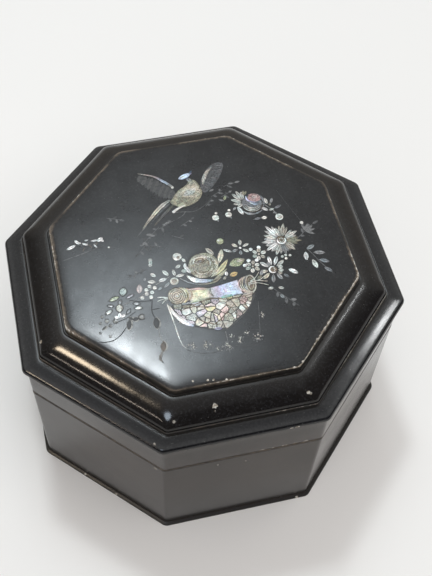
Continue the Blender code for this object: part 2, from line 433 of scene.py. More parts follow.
def lid_profile():
    """Lid: panel, step, band, ovolo, fillet, flange and skirt, then back up the inside."""
    sections = []
    shares = [
        0.0, 0.04, 0.1, 0.18, 0.27, 0.36, 0.45, 0.54, 0.62, 0.7, 0.77, 0.83, 0.88, 0.92, 0.945, 0.965, 0.98,
        0.99,
    ]
    for share in shares:
        apothem = PANEL * share
        corner = apothem + (PANEL_CORNER - apothem) * share ** 3
        sections.append(
            section(apothem, panel_height(share), corner, worn=0.42 * share ** 40 if share > 0.97 else 0.0)
        )
    sections += [
        section(PANEL, PANEL_EDGE, PANEL_CORNER, 1.2, worn=1.0),
        section(PANEL + 0.07, PANEL_EDGE - 1.6, PANEL_CORNER, worn=0.4, grime=0.6),
        section(PANEL + 0.2, PANEL_STEP - 0.3, PANEL_CORNER, 0.35, grime=1.0),
        section(PANEL + 0.9, PANEL_STEP - 0.3, PANEL_CORNER, 0.2, grime=1.0),
        section(PANEL + 1.3, PANEL_STEP, PANEL_CORNER - 0.6, 0.3, grime=0.9, dust=0.1),
        section(MOULDING_INNER, MOULDING_TOP, MOULDING_CORNER + 4.0, grime=1.0, dust=0.1),
    ]
    ovolo_steps = 18
    ovolo_start = math.radians(62.0)
    ovolo_reach = (MOULDING - MOULDING_STEP - MOULDING_INNER) / (1.0 - math.cos(ovolo_start))
    ovolo_rise = (MOULDING_TOP - MOULDING_FILLET) / math.sin(ovolo_start)
    for step in range(1, ovolo_steps + 1):
        share = step / ovolo_steps
        angle = ovolo_start * (1.0 - share)
        apothem = MOULDING_INNER + ovolo_reach * (math.cos(angle) - math.cos(ovolo_start))
        height = MOULDING_FILLET + ovolo_rise * math.sin(angle)
        corner = MOULDING_CORNER + 4.0 * (1.0 - share) ** 0.5
        corner += 6.0 * math.sin(math.pi * min(1.0, 1.5 * share))
        grime = 0.35 * max(0.0, 1.0 - share * 5.0)
        sections.append(section(apothem, height, corner, grime=grime, dust=0.4 * grime))
    sections += [
        # Light tone on the moulding's lower arris: dusting, and a painted highlight along the edge.
        section(MOULDING - 0.05, MOULDING_FILLET - 0.25, MOULDING_CORNER, 0.9, worn=0.66, dust=0.9),
        section(MOULDING, MOULDING_BOTTOM - 0.2, MOULDING_CORNER, 0.2, worn=0.3, grime=0.5, dust=0.3),
        section(MOULDING + 0.1, FLANGE_TOP - 0.5, MOULDING_CORNER, 0.1, (0.9975, -0.09), grime=1.0),
        section(MOULDING + 0.9, FLANGE_TOP - 0.5, MOULDING_CORNER, 0.1, (0.995, -0.18), grime=1.0),
        section(MOULDING + 1.2, FLANGE_TOP - 0.38, FLANGE_CORNER, 0.1, (0.994, -0.25), grime=0.5, dust=0.1),
        section(MOULDING + 3.0, FLANGE_TOP - 0.6, FLANGE_CORNER, 0.0, (0.988, -0.45), dust=0.2),
        section(MOULDING + 5.4, FLANGE_TOP - 1.0, FLANGE_CORNER, 0.0, (0.980, -0.72), dust=0.3),
        section(MOULDING + 7.2, FLANGE_TOP - 1.35, FLANGE_CORNER, 0.0, (0.975, -0.9), dust=0.6),
    ]
    edge_steps = 9
    edge_turn = math.radians(75.0)
    for step in range(edge_steps + 1):
        share = step / edge_steps
        angle = edge_turn * (1.0 - share)
        apothem = FLANGE - 1.8 + 1.8 * math.cos(angle)
        height = FLANGE_UNDERSIDE + 0.7 + 2.15 * math.sin(angle)
        worn = 0.32 * share ** 4
        dust = max(0.0, 0.6 - share * 3.0)
        sections.append(section(apothem, height, FLANGE_CORNER, 0.0, FLANGE_SQUEEZE, worn=worn, dust=dust))
    sections += [
        section(FLANGE, FLANGE_UNDERSIDE, FLANGE_CORNER, 0.4, FLANGE_SQUEEZE, worn=0.85),
        section(WALL, FLANGE_UNDERSIDE, WALL_CORNER, 0.2, FLANGE_WALL_SQUEEZE, grime=0.5),
        on_wall(WALL, LID_RIM + 2.0),
        on_wall(WALL, LID_RIM, 0.5, worn=0.75),
        on_wall(WALL - SKIRT, LID_RIM, 0.4),
        on_wall(WALL - SKIRT, FLANGE_TOP - LID_THICKNESS, 1.5),
        section(MOULDING - LID_THICKNESS, FLANGE_TOP - LID_THICKNESS, MOULDING_CORNER, 1.0),
        section(MOULDING - LID_THICKNESS, MOULDING_FILLET - 1.0, MOULDING_CORNER, 1.5),
        section(MOULDING_INNER, MOULDING_TOP - LID_THICKNESS, MOULDING_CORNER, 1.5),
        section(PANEL - LID_THICKNESS, MOULDING_TOP - LID_THICKNESS, PANEL_CORNER, 1.5),
        section(PANEL - LID_THICKNESS - 1.5, PANEL_EDGE - LID_THICKNESS, PANEL_CORNER, 2.0),
        section(PANEL * 0.5, LID_TOP - LID_THICKNESS - 0.5, PANEL * 0.5),
        section(0.0, LID_TOP - LID_THICKNESS, 0.0),
    ]
    return rounded_profile(sections)


def swept_piece(name, sections, finish, side_steps):
    """One finished shell of the box, swept from its profile; the assembly hides the plain solid it stands in
    for.
    """
    line = profile_object(name + "_profile", sections)
    values = {"Corner Steps": 7, "Side Steps": side_steps, "Unevenness": 0.0001, "Finish": finish}
    return grown(line, SWEEP, name, values)


# ---- flat pieces laid on the lid

LIFT = 0.12              # how proud a cut piece of shell stands of the lacquer
LAYER = 0.05             # how much higher each further layer stands
SINK = 0.25              # how deep it is let in
RAY_START = 0.2          # places on the plan are dropped onto the lid from this height, in metres
RAY_LENGTH = 0.15
PLAIN, VEINS, BARBS, SCALES, STROKES = 0.0, 1.0, 2.0, 3.0, 4.0


def lay_tree():
    """Drops flat plates onto the lid; a point's level says how far it is above or below the surface."""
    tree = bpy.data.node_groups.new("lay on the lid", "GeometryNodeTree")
    inputs = [
        ("Plates", GEOMETRY, None), ("Plan", VECTOR, None), ("Lid", OBJECT, None), ("Finish", MATERIAL, None),
    ]
    add_sockets(tree, inputs, [("Laid", GEOMETRY)])
    sheet = NodeSheet(tree)
    given = sheet.node("NodeGroupInput").outputs
    lid = sheet.geometry_of(given["Lid"])
    x, y, _ = sheet.split(given["Plan"])
    above = sheet.combined(x, y, RAY_START)
    ray_inputs = {
        "Target Geometry": lid, "Source Position": above,
        "Ray Direction": (0.0, 0.0, -1.0), "Ray Length": RAY_LENGTH,
    }
    ray = sheet.node("GeometryNodeRaycast", None, ray_inputs)
    level = sheet.carried("level")
    proud = sheet.times(sheet.maths("MAXIMUM", level, 0.0), sheet.carried("lift"))
    sunk = sheet.times(sheet.maths("MINIMUM", level, 0.0), SINK * MM)
    rise = sheet.combined(0.0, 0.0, sheet.plus(proud, sunk))
    place = sheet.vector_maths("ADD", ray.outputs["Hit Position"], rise)
    laid = sheet.made("SetPosition", {"Geometry": given["Plates"], "Position": place})
    laid = sheet.made("RealizeInstances", {"Geometry": laid})
    laid = sheet.made("SetMaterial", {"Geometry": laid, "Material": given["Finish"]})
    sheet.feed(sheet.node("NodeGroupOutput").inputs["Laid"], laid)
    return tree


def laid_out(sheet, given, plates, plan):
    """Ends a tree with the group that lays its plates on the lid."""
    settings = {"node_tree": LAY}
    inputs = {"Plates": plates, "Plan": plan, "Lid": given["Lid"], "Finish": given["Finish"]}
    laid = sheet.node("GeometryNodeGroup", settings, inputs).outputs["Laid"]
    sheet.feed(sheet.node("NodeGroupOutput").inputs["Laid"], laid)


def laying_tree(name, source):
    """A new tree with the sockets that every laying tree has."""
    tree = bpy.data.node_groups.new(name, "GeometryNodeTree")
    inputs = [
        (source, GEOMETRY, None), ("Cut From", OBJECT, None), ("Lid", OBJECT, None),
        ("Finish", MATERIAL, None),
    ]
    add_sockets(tree, inputs, [("Laid", GEOMETRY)])
    sheet = NodeSheet(tree)
    return tree, sheet, sheet.node("NodeGroupInput").outputs


def petal_tree():
    """Cuts a petal, leaf or dot at every planted point, from a round blank."""
    tree, sheet, given = laying_tree("petals on the lid", "Planting")
    position = sheet.position()
    blank = sheet.geometry_of(given["Cut From"])
    blank = sheet.stored(blank, "cut", position, "FLOAT_VECTOR")
    planted = sheet.stored(given["Planting"], "root", position, "FLOAT_VECTOR")
    instances = sheet.made("InstanceOnPoints", {"Points": planted, "Instance": blank})
    petals = sheet.made("RealizeInstances", {"Geometry": instances})

    along, across, level = sheet.split(sheet.carried("cut", "FLOAT_VECTOR"))
    share = sheet.maths("MULTIPLY_ADD", along, 0.5, 0.5)
    long, wide = sheet.carried("long"), sheet.carried("wide")
    base, tip = sheet.carried("base"), sheet.carried("tip")
    point = sheet.node("ShaderNodeMix", {"data_type": "FLOAT"}, {0: share, 2: base, 3: tip}).outputs[0]
    middle = sheet.minus(1.0, sheet.times(along, along))
    narrowing = sheet.maths("POWER", sheet.maths("MAXIMUM", middle, 0.0001), sheet.times(point, 0.5))
    fullness = sheet.maths("MULTIPLY_ADD", along, sheet.carried("taper"), 1.0)
    half = sheet.times(sheet.times(wide, 0.5), sheet.times(narrowing, fullness))
    bow = sheet.times(sheet.carried("bend"), sheet.times(share, share))
    sideways = sheet.plus(sheet.times(across, half), sheet.times(bow, long))
    forward = sheet.times(share, long)
    petals = sheet.stored(petals, "level", level)
    lie = sheet.combined(forward, sheet.times(across, half), sheet.carried("chance"))
    petals = sheet.stored(petals, "lie", lie, "FLOAT_VECTOR")

    heading = sheet.direction(sheet.carried("turn"))
    crosswise = sheet.vector_maths("CROSS_PRODUCT", (0.0, 0.0, 1.0), heading)
    plan = sheet.vector_maths("ADD", sheet.scaled(heading, forward), sheet.scaled(crosswise, sideways))
    plan = sheet.vector_maths("ADD", plan, sheet.carried("root", "FLOAT_VECTOR"))
    laid_out(sheet, given, petals, plan)
    return tree


def ribbon_tree():
    """Cuts a flat strip along every drawn line, as wide as the line says at each point."""
    tree, sheet, given = laying_tree("ribbons on the lid", "Lines")
    position = sheet.position()
    section_mesh = sheet.geometry_of(given["Cut From"])
    section_curve = sheet.made("MeshToCurve", {"Mesh": section_mesh})
    curve = sheet.made("MeshToCurve", {"Mesh": given["Lines"]})
    tangent = sheet.made("InputTangent")
    crosswise = sheet.vector_maths("CROSS_PRODUCT", (0.0, 0.0, 1.0), tangent)
    run = sheet.node("GeometryNodeSplineParameter").outputs["Length"]
    curve = sheet.stored(curve, "spine", position, "FLOAT_VECTOR")
    curve = sheet.stored(curve, "crosswise", crosswise, "FLOAT_VECTOR")
    curve = sheet.stored(curve, "run", run)
    ribbons = sheet.made("CurveToMesh", {"Curve": curve, "Profile Curve": section_curve, "Fill Caps": True})
    half = sheet.times(sheet.carried("wide"), 0.5)
    sideways = sheet.times(sheet.carried("side"), half)
    lie = sheet.combined(sheet.carried("run"), sideways, sheet.carried("chance"))
    ribbons = sheet.stored(ribbons, "lie", lie, "FLOAT_VECTOR")
    offset = sheet.scaled(sheet.carried("crosswise", "FLOAT_VECTOR"), sideways)
    plan = sheet.vector_maths("ADD", sheet.carried("spine", "FLOAT_VECTOR"), offset)
    laid_out(sheet, given, ribbons, plan)
    return tree


def plate_tree():
    """Lays plates that are already cut to their outline."""
    tree, sheet, given = laying_tree("plates on the lid", "Plates")
    laid_out(sheet, given, given["Plates"], sheet.position())
    return tree


ATTRIBUTE_KINDS = {1: ("FLOAT", "value"), 3: ("FLOAT_VECTOR", "vector"), 4: ("FLOAT_COLOR", "color")}


def write_attributes(mesh, columns):
    """Stores a float, vector or colour on each point of a mesh."""
    for name, values in columns.items():
        rows = np.asarray(values, np.float32)
        kind, field = ATTRIBUTE_KINDS[rows.shape[1] if rows.ndim > 1 else 1]
        mesh.attributes.new(name, kind, "POINT").data.foreach_set(field, rows.ravel())


def stacked_faces(start, count, rings):
    """Faces of a closed plate: walls between its rings, then its underside and its top."""
    faces = []
    for ring in range(rings - 1):
        low, high = start + ring * count, start + (ring + 1) * count
        for step in range(count):
            after = (step + 1) % count
            faces.append((low + step, low + after, high + after, high + step))
    faces.append(tuple(reversed(range(start, start + count))))
    faces.append(tuple(range(start + (rings - 1) * count, start + rings * count)))
    return faces


def petal_blank(steps=16):
    """A round plate of unit size with a bevelled rim, one unit above and below its middle."""
    rings = [(1.0, -1.0, 1.0), (1.0, 0.5, 1.0), (0.84, 1.0, 0.0), (0.45, 1.12, 0.0)]
    points, rims = [], []
    for reach, level, rim in rings:
        for step in range(steps):
            angle = math.tau * step / steps
            points.append((reach * math.cos(angle), reach * math.sin(angle), level))
            rims.append(rim)
    mesh = bpy.data.meshes.new("petal_blank")
    mesh.from_pydata(points, [], stacked_faces(0, steps, len(rings)))
    write_attributes(mesh, {"rim": rims})
    return bpy.data.objects.new("petal_blank", mesh)


def ribbon_section():
    """The closed section of a strip: side to side, and its level above or below the surface."""
    outline = [(-1.0, -1.0), (1.0, -1.0), (1.0, 0.5), (0.8, 1.0), (-0.8, 1.0), (-1.0, 0.5)]
    mesh = bpy.data.meshes.new("ribbon_section")
    edges = [(i, (i + 1) % len(outline)) for i in range(len(outline))]
    mesh.from_pydata([(side * MM, level * MM, 0.0) for side, level in outline], edges, [])
    write_attributes(mesh, {
        "side": [side for side, level in outline],
        "level": [level for side, level in outline],
        "rim": [1.0 if abs(side) > 0.9 else 0.0 for side, level in outline],
    })
    return bpy.data.objects.new("ribbon_section", mesh)


def smooth_line(points, steps=6, closed=False):
    """A smooth curve through a few points, as a finer list of points."""
    given = [np.array(p, float) for p in points]
    count = len(given)
    line = []
    for index in range(count if closed else count - 1):
        if closed:
            before, start, end, after = (given[(index + k) % count] for k in (-1, 0, 1, 2))
        else:
            before, start, end, after = (given[min(max(index + k, 0), count - 1)] for k in (-1, 0, 1, 2))
        for step in range(steps):
            t = step / steps
            line.append(0.5 * (
                2 * start + (end - before) * t + (2 * before - 5 * start + 4 * end - after) * t ** 2
                + (3 * start - before - 3 * end + after) * t ** 3
            ))
    if not closed:
        line.append(given[-1])
    return line


def around(middle, reach, degrees, flat=1.0):
    """The place at a distance and a direction from a middle; flat squeezes the depth."""
    angle = math.radians(degrees)
    return (middle[0] + reach * math.cos(angle), middle[1] + reach * flat * math.sin(angle))


class Marquetry:
    """Collects everything that is cut from one material and laid on the lid."""

    def __init__(self, name, finish, tints, seed, lift=LIFT):
        self.name = name
        self.finish = finish
        self.tints = tints
        self.lift = lift
        self.draw = random.Random(seed)
        self.petals = []
        self.lines = []
        self.plates = []

    def tint(self, name, spread=0.12):
        """A named tint, a little lighter or darker each time."""
        return np.array(self.tints[name]) * (1.0 + self.draw.uniform(-spread, spread))

    def proud(self, layer):
        """How high a piece stands above the lacquer, in metres."""
        return (self.lift + LAYER * layer) * MM

    def petal(
        self, place, turn, long, wide, tint, tip=0.8, base=0.8, taper=0.0, bend=0.0, style=VEINS, layer=0
    ):
        """One petal that starts at a place and points away in a direction given in degrees."""
        self.petals.append({
            "root": (place[0] * MM, place[1] * MM, 0.0),
            "turn": math.radians(turn),
            "long": long * MM,
            "wide": wide * MM,
            "tip": tip,
            "base": base,
            "taper": taper,
            "bend": bend,
            "style": style,
            "lift": self.proud(layer),
            "tint": (*self.tint(tint), 1.0),
            "chance": self.draw.random(),
        })

    def leaf(self, middle, turn, long, wide, tint, **shape):
        """A petal given by its middle."""
        angle = math.radians(turn)
        start = (middle[0] - math.cos(angle) * long / 2.0, middle[1] - math.sin(angle) * long / 2.0)
        self.petal(start, turn, long, wide, tint, **shape)

    def leaves(self, rows, **shape):
        """Leaves from rows of x, y, turn, length, width and tint."""
        for x, y, turn, long, wide, tint in rows:
            self.leaf((x, y), turn, long, wide, tint, **shape)

    def dot(self, middle, radius, tint, style=PLAIN, layer=0):
        """A round piece."""
        self.leaf(middle, 0.0, 2.0 * radius, 2.0 * radius, tint, tip=0.0, base=0.0, style=style, layer=layer)

    def dots(self, middles, radius, tint, **shape):
        """Round pieces of one size."""
        for middle in middles:
            self.dot(middle, radius, tint, **shape)

    def between(self, start, end, wide, tint, **shape):
        """A petal given by its two ends."""
        step = np.array(end, float) - np.array(start, float)
        turn = math.degrees(math.atan2(step[1], step[0]))
        self.petal(start, turn, float(np.linalg.norm(step)), wide, tint, **shape)

    def flower(self, middle, count, ring, reach, wide, tints, start=0.0, uneven=0.12, **shape):
        """Petals all round a middle, each a little different in length, width and direction."""
        tints = tints.split()
        for index in range(count):
            turn = start + 360.0 * index / count + self.draw.uniform(-1.0, 1.0) * 120.0 / count * uneven
            root = around(middle, ring, turn)
            length = (reach - ring) * (1.0 + self.draw.uniform(-uneven, uneven))
            width = wide * (1.0 + self.draw.uniform(-uneven, uneven))
            self.petal(root, turn, length, width, tints[index % len(tints)], **shape)

    def feathers(self, roots, tips, count, wide, tints, **shape):
        """Feathers from one curve to another, side by side."""
        steps = 12
        tints = tints.split()
        start, end = smooth_line(roots, steps), smooth_line(tips, steps)
        for index in range(count):
            share = index / (count - 1)
            first = start[round(share * (len(start) - 1))]
            last = end[round(share * (len(end) - 1))]
            self.between(first, last, wide, tints[index % len(tints)], **shape)

    def line(self, points, wide, tints, style=PLAIN, layer=0, ends=0.35, closed=False, steps=6):
        """A strip along a smooth line; its width and its named tints may change along it."""
        path = smooth_line(points, steps, closed)
        if closed:
            path.append(path[0])
        count = len(path)
        widths = wide if isinstance(wide, (list, tuple)) else [wide, wide]
        names = tints.split()
        colours = [self.tint(name) for name in (names if len(names) > 1 else names * 2)]
        shares = np.linspace(0.0, 1.0, count)
        width = np.interp(shares, np.linspace(0.0, 1.0, len(widths)), widths)
        if not closed:
            width = width * np.clip(np.minimum(shares, 1.0 - shares) * count / 2.0 + ends, 0.0, 1.0)
        knots = np.linspace(0.0, 1.0, len(colours))
        colour = np.stack([np.interp(shares, knots, [c[k] for c in colours]) for k in range(3)], axis=1)
        self.lines.append({
            "path": path, "wide": width, "tint": colour, "style": style,
            "lift": self.proud(layer), "chance": self.draw.random(),
        })

    def arc(self, middle, radius, start, end, wide, tints, flat=1.0, **shape):
        """A strip along part of a circle, or of an ellipse flattened in its depth."""
        steps = 5
        points = []
        for index in range(steps + 1):
            points.append(around(middle, radius, start + (end - start) * index / steps, flat))
        self.line(points, wide, tints, **shape)

    def plate(self, outline, tint, style=PLAIN, layer=0, turn=0.0):
        """A flat piece with any outline, given anticlockwise."""
        self.plates.append({
            "outline": [np.array(p, float) for p in outline], "tint": self.tint(tint), "style": style,
            "lift": self.proud(layer), "turn": math.radians(turn), "chance": self.draw.random(),
        })

    def planting_object(self):
        """A point for every petal, with the petal's shape and tint."""
        mesh = bpy.data.meshes.new(self.name + "_planting")
        mesh.from_pydata([p["root"] for p in self.petals], [], [])
        keys = ("tint", "turn", "long", "wide", "tip", "base", "taper", "bend", "style", "lift", "chance")
        write_attributes(mesh, {key: [p[key] for p in self.petals] for key in keys})
        return bpy.data.objects.new(self.name + "_planting", mesh)

    def drawing_object(self):
        """The drawn lines, with their width and tint at every point."""
        points, edges = [], []
        columns = {key: [] for key in ("wide", "tint", "style", "lift", "chance")}
        for line in self.lines:
            start = len(points)
            count = len(line["path"])
            points += [(p[0] * MM, p[1] * MM, 0.0) for p in line["path"]]
            edges += [(start + i, start + i + 1) for i in range(count - 1)]
            columns["wide"] += list(line["wide"] * MM)
            columns["tint"] += [(*c, 1.0) for c in line["tint"]]
            for key in ("style", "lift", "chance"):
                columns[key] += [line[key]] * count
        mesh = bpy.data.meshes.new(self.name + "_drawing")
        mesh.from_pydata(points, edges, [])
        write_attributes(mesh, columns)
        return bpy.data.objects.new(self.name + "_drawing", mesh)

    def plates_object(self, bevel=0.16):
        """All plates, each with a bevelled rim, cut to their outlines."""
        points, faces = [], []
        columns = {key: [] for key in ("level", "rim", "tint", "style", "lift", "lie")}
        for plate in self.plates:
            outline = plate["outline"]
            count = len(outline)
            inner = shrunk(outline, bevel)
            middle = sum(outline) / count
            cos, sin = math.cos(plate["turn"]), math.sin(plate["turn"])
            start = len(points)
            for ring, level, rim in ((outline, -1.0, 1.0), (outline, 0.5, 1.0), (inner, 1.0, 0.0)):
                for place in ring:
                    x, y = place - middle
                    points.append((place[0] * MM, place[1] * MM, 0.0))
                    columns["level"].append(level)
                    columns["rim"].append(rim)
                    columns["lie"].append(
                        ((x * cos + y * sin) * MM, (y * cos - x * sin) * MM, plate["chance"])
                    )
            faces += stacked_faces(start, count, 3)
            columns["tint"] += [(*plate["tint"], 1.0)] * (3 * count)
            for key in ("style", "lift"):
                columns[key] += [plate[key]] * (3 * count)
        mesh = bpy.data.meshes.new(self.name + "_cut")
        mesh.from_pydata(points, [], faces)
        write_attributes(mesh, columns)
        return bpy.data.objects.new(self.name + "_cut", mesh)

    def lay(self, lid):
        """Makes the finished pieces: petals, ribbons and plates, each one plain mesh."""
        made = []
        jobs = (
            (self.petals, self.planting_object, PETALS, PETAL_BLANK, "_petals"),
            (self.lines, self.drawing_object, RIBBONS, RIBBON_SECTION, "_ribbons"),
            (self.plates, self.plates_object, PLATES, RIBBON_SECTION, "_plates"),
        )
        for items, source, tree, cut_from, ending in jobs:
            if not items:
                continue
            start = source()
            bpy.context.scene.collection.objects.link(start)
            values = {"Cut From": cut_from, "Lid": lid, "Finish": self.finish}
            piece = grown(start, tree, self.name + ending, values)
            outward(piece)
            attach(piece, "root")
            made.append(piece)
        return made


def shrunk(outline, distance):
    """The outline moved inwards by a distance, corner by corner."""
    count = len(outline)
    inner = []
    for index, here in enumerate(outline):
        before, after = outline[index - 1], outline[(index + 1) % count]
        along = [(here - before), (after - here)]
        normals = [np.array([-a[1], a[0]]) / max(np.linalg.norm(a), 1e-6) for a in along]
        bisector = normals[0] + normals[1]
        bisector = bisector / max(np.linalg.norm(bisector), 1e-6)
        reach = distance / max(float(bisector @ normals[0]), 0.5)
        inner.append(here + bisector * reach)
    return inner


def outward(piece):
    """Turns every closed shell of a piece so that its faces point outwards."""
    working = bmesh.new()
    working.from_mesh(piece.data)
    bmesh.ops.recalc_face_normals(working, faces=working.faces[:])
    working.to_mesh(piece.data)
    working.free()


# ---- the picture on the lid
# Places are millimetres on the lid's plan: x to the right, y to the back, from the middle.

PEARL_TINTS = {
    "white": (0.70, 0.72, 0.67), "bright": (0.86, 0.89, 0.88), "cream": (0.53, 0.505, 0.43),
    "ivory": (0.64, 0.61, 0.48), "grey": (0.30, 0.32, 0.33), "slate": (0.17, 0.19, 0.21),
    "dusk": (0.085, 0.088, 0.095), "olive": (0.36, 0.355, 0.25), "moss": (0.17, 0.18, 0.12),
    "lichen": (0.40, 0.46, 0.28), "sea": (0.40, 0.50, 0.46), "ice": (0.60, 0.72, 0.92),
    "deep": (0.06, 0.12, 0.22), "lavender": (0.48, 0.46, 0.66), "lilac": (0.55, 0.50, 0.56),
    "pink": (0.62, 0.48, 0.45), "rose": (0.46, 0.29, 0.28), "yellow": (0.62, 0.57, 0.33),
    "straw": (0.80, 0.77, 0.50), "honey": (0.56, 0.40, 0.16), "turquoise": (0.18, 0.56, 0.50),
    "tan": (0.45, 0.33, 0.22), "umber": (0.16, 0.12, 0.08),
}

PAINT_TINTS = {
    "ash": (0.05, 0.049, 0.047), "pale": (0.26, 0.26, 0.24), "grey": (0.15, 0.15, 0.15),
    "faint": (0.085, 0.086, 0.088), "dim": (0.028, 0.0275, 0.028), "umber": (0.075, 0.055, 0.038),
    "black": (0.006, 0.006, 0.007),
}


def lay_bird(pearl, paint):
    """A bird in flight: dim wings with pale bars, speckled breast, blue cap and long tail plates."""
    paint.feathers(
        [(-22, 55.6), (-15, 51.4), (-9.2, 46), (-6.4, 41)],
        [(-24.2, 51), (-19.4, 43.4), (-14, 37.6), (-8.6, 35.8)],
        15, 2.9, "ash dim", tip=0.7, base=0.4,
    )
    pearl.line(
        [(-23.6, 57), (-15.7, 53.2), (-11.1, 48.8), (-8.2, 45.5), (-6.3, 43)],
        [0.5, 0.9, 1.5, 1.5, 1.2], "cream pink ice grey cream", BARBS, layer=2,
    )
    pearl.dot((-6.9, 43.4), 0.8, "white", layer=3)
    wing = [
        (9.1, 36.6), (8.4, 41.6), (11, 48.4), (16.6, 54.4), (21.8, 55.8), (23.4, 53.2), (19, 44.8),
        (13.7, 39.2),
    ]
    pearl.plate(smooth_line(wing, 4, closed=True), "dusk", BARBS, turn=50)
    paint.feathers(
        [(10, 41), (12.6, 47.4), (18.6, 54)], [(12, 38.6), (18.4, 44.6), (23, 53.2)],
        9, 0.45, "grey faint", layer=4,
    )
    pearl.line(
        [(9.6, 42.2), (11.2, 46.4), (13.6, 50.2), (17.2, 53.6)],
        [0.9, 2.3, 1.9, 0.4], "cream white cream grey", SCALES, layer=2,
    )

    pearl.line(
        [(-9.8, 35.2), (-14.5, 32.5), (-18.8, 28.8), (-23.6, 23.8), (-28, 18.8)],
        [1.2, 2.4, 2.2, 1.5, 0.3], "sea white ivory cream olive", BARBS, layer=1,
    )
    pearl.line([(-8.8, 31.6), (-15, 26.2), (-21.8, 19.6)], [1, 1.8, 0.4], "moss dusk umber", BARBS)
    pearl.line([(-10, 33.4), (-16.4, 28.4), (-24, 20.6)], [0.7, 0.9, 0.3], "grey slate dusk", BARBS)
    paint.line([(-25.4, 21), (-28.4, 18), (-31.6, 14.6)], [0.8, 0.6, 0.2], "grey faint")

    body = [
        (-10.2, 33.4), (-7.4, 30.6), (-4.6, 29), (0.7, 29.8), (5, 32), (8, 36.4), (7.8, 41.2), (5.9, 46),
        (2.8, 46.6), (0.8, 43.8), (-4.6, 40.4), (-8, 36.4),
    ]
    pearl.plate(smooth_line(body, 3, closed=True), "olive", SCALES, turn=40)
    breast = [
        (-6.4, 37.4), (-1.4, 35.4), (4, 34.4), (7.3, 37.6), (6.9, 41.8), (5, 45.2), (2.9, 44.8), (0.6, 42.6),
        (-4.2, 39.8),
    ]
    pearl.plate(smooth_line(breast, 3, closed=True), "ivory", SCALES, layer=1, turn=50)
    pearl.leaf((1.6, 38.4), 28, 9, 4.4, "white", style=SCALES, layer=2)
    pearl.line([(4.4, 45.2), (2.6, 47.2), (1.8, 48.8)], [2.2, 2.4, 1], "olive slate deep", SCALES, layer=1)
    head = [(-2.6, 48.6), (0, 47.8), (3.6, 49.4), (4.2, 51.2), (2, 51.6), (-1, 50.4)]
    pearl.plate(smooth_line(head, 3, closed=True), "ice", layer=3, turn=25)
    pearl.leaf((-0.2, 49.4), 22, 3.6, 1.5, "bright", layer=5)
    pearl.between((3.6, 50.6), (5.8, 53.2), 1.1, "deep", tip=1.2, base=0.6, layer=2)
    pearl.between((3.8, 50.2), (5.6, 51.6), 0.9, "lavender", tip=1.2, base=0.6, layer=4)
    pearl.line(
        [(-2.6, 30.2), (-6.4, 28.9), (-10.2, 26.6)], [0.7, 1.3, 1.9], "cream white bright", layer=1, ends=0.6
    )
    paint.line([(-9.6, 26.6), (-4.6, 26), (1, 25.2), (6.8, 27.6), (12.4, 32.4)], 0.35, "grey faint dim")
    paint.line([(-3.4, 26.2), (-5, 24), (-9.2, 21.8)], 0.35, "grey faint")


def lay_faded_foliage(paint):
    """Painted sprigs behind the bird and along its perch, nearly rubbed away."""
    sprigs = [
        ((-10, 21.6), (-20, 17.4), 5), ((-19, 19), (-28.6, 10.4), 6), ((-8, 17), (-1, 20.6), 4),
        ((7.6, 27), (12.4, 31.6), 4), ((12, 33), (19.6, 36.6), 5), ((17.4, 31.8), (22.4, 34.2), 3),
        ((-26, 10.6), (-33, 4), 5), ((-20, 6.2), (-30, 9), 4), ((-45, 30.4), (-38.4, 27.8), 4),
        ((-14, 12), (-8, 8.6), 3), ((20, 38.6), (27, 40.2), 3),
    ]
    for start, end, count in sprigs:
        spray_of_leaves(paint, start, end, count, 2.9, 1.3, "faint dim grey", spread=58)
    loose = [(24.6, 40, 0), (13.4, 37.4, 20), (17, 29.6, -30), (-14.4, 20.6, 20), (-23.6, 14, -15)]
    paint.leaves([(x, y, turn, 3.2, 1.3, "grey") for x, y, turn in loose])
    paint.line([(47.8, 30.6), (51.9, 17.5), (54.9, 8.4)], 0.16, "faint dim")


def spray_of_leaves(stock, start, end, count, long, wide, tints, spread=48, line_tint=None):
    """Leaves set in turn on the left and right of a straight stalk."""
    tints = tints.split()
    run = np.array(end, float) - np.array(start, float)
    heading = math.degrees(math.atan2(run[1], run[0]))
    stock.line([start, np.array(start) + run * 0.5, end], 0.35, line_tint or tints[0])
    for index in range(count):
        share = (index + 1) / count
        side = 1 if index % 2 else -1
        if index == count - 1:
            side = 0
        turn = heading + side * spread + stock.draw.uniform(-12, 12)
        length = long * stock.draw.uniform(0.5, 1.25)
        if stock.draw.random() < 0.2:
            continue
        stock.petal(
            np.array(start) + run * share * 0.95, turn, length, wide, tints[index % len(tints)], tip=1.1
        )


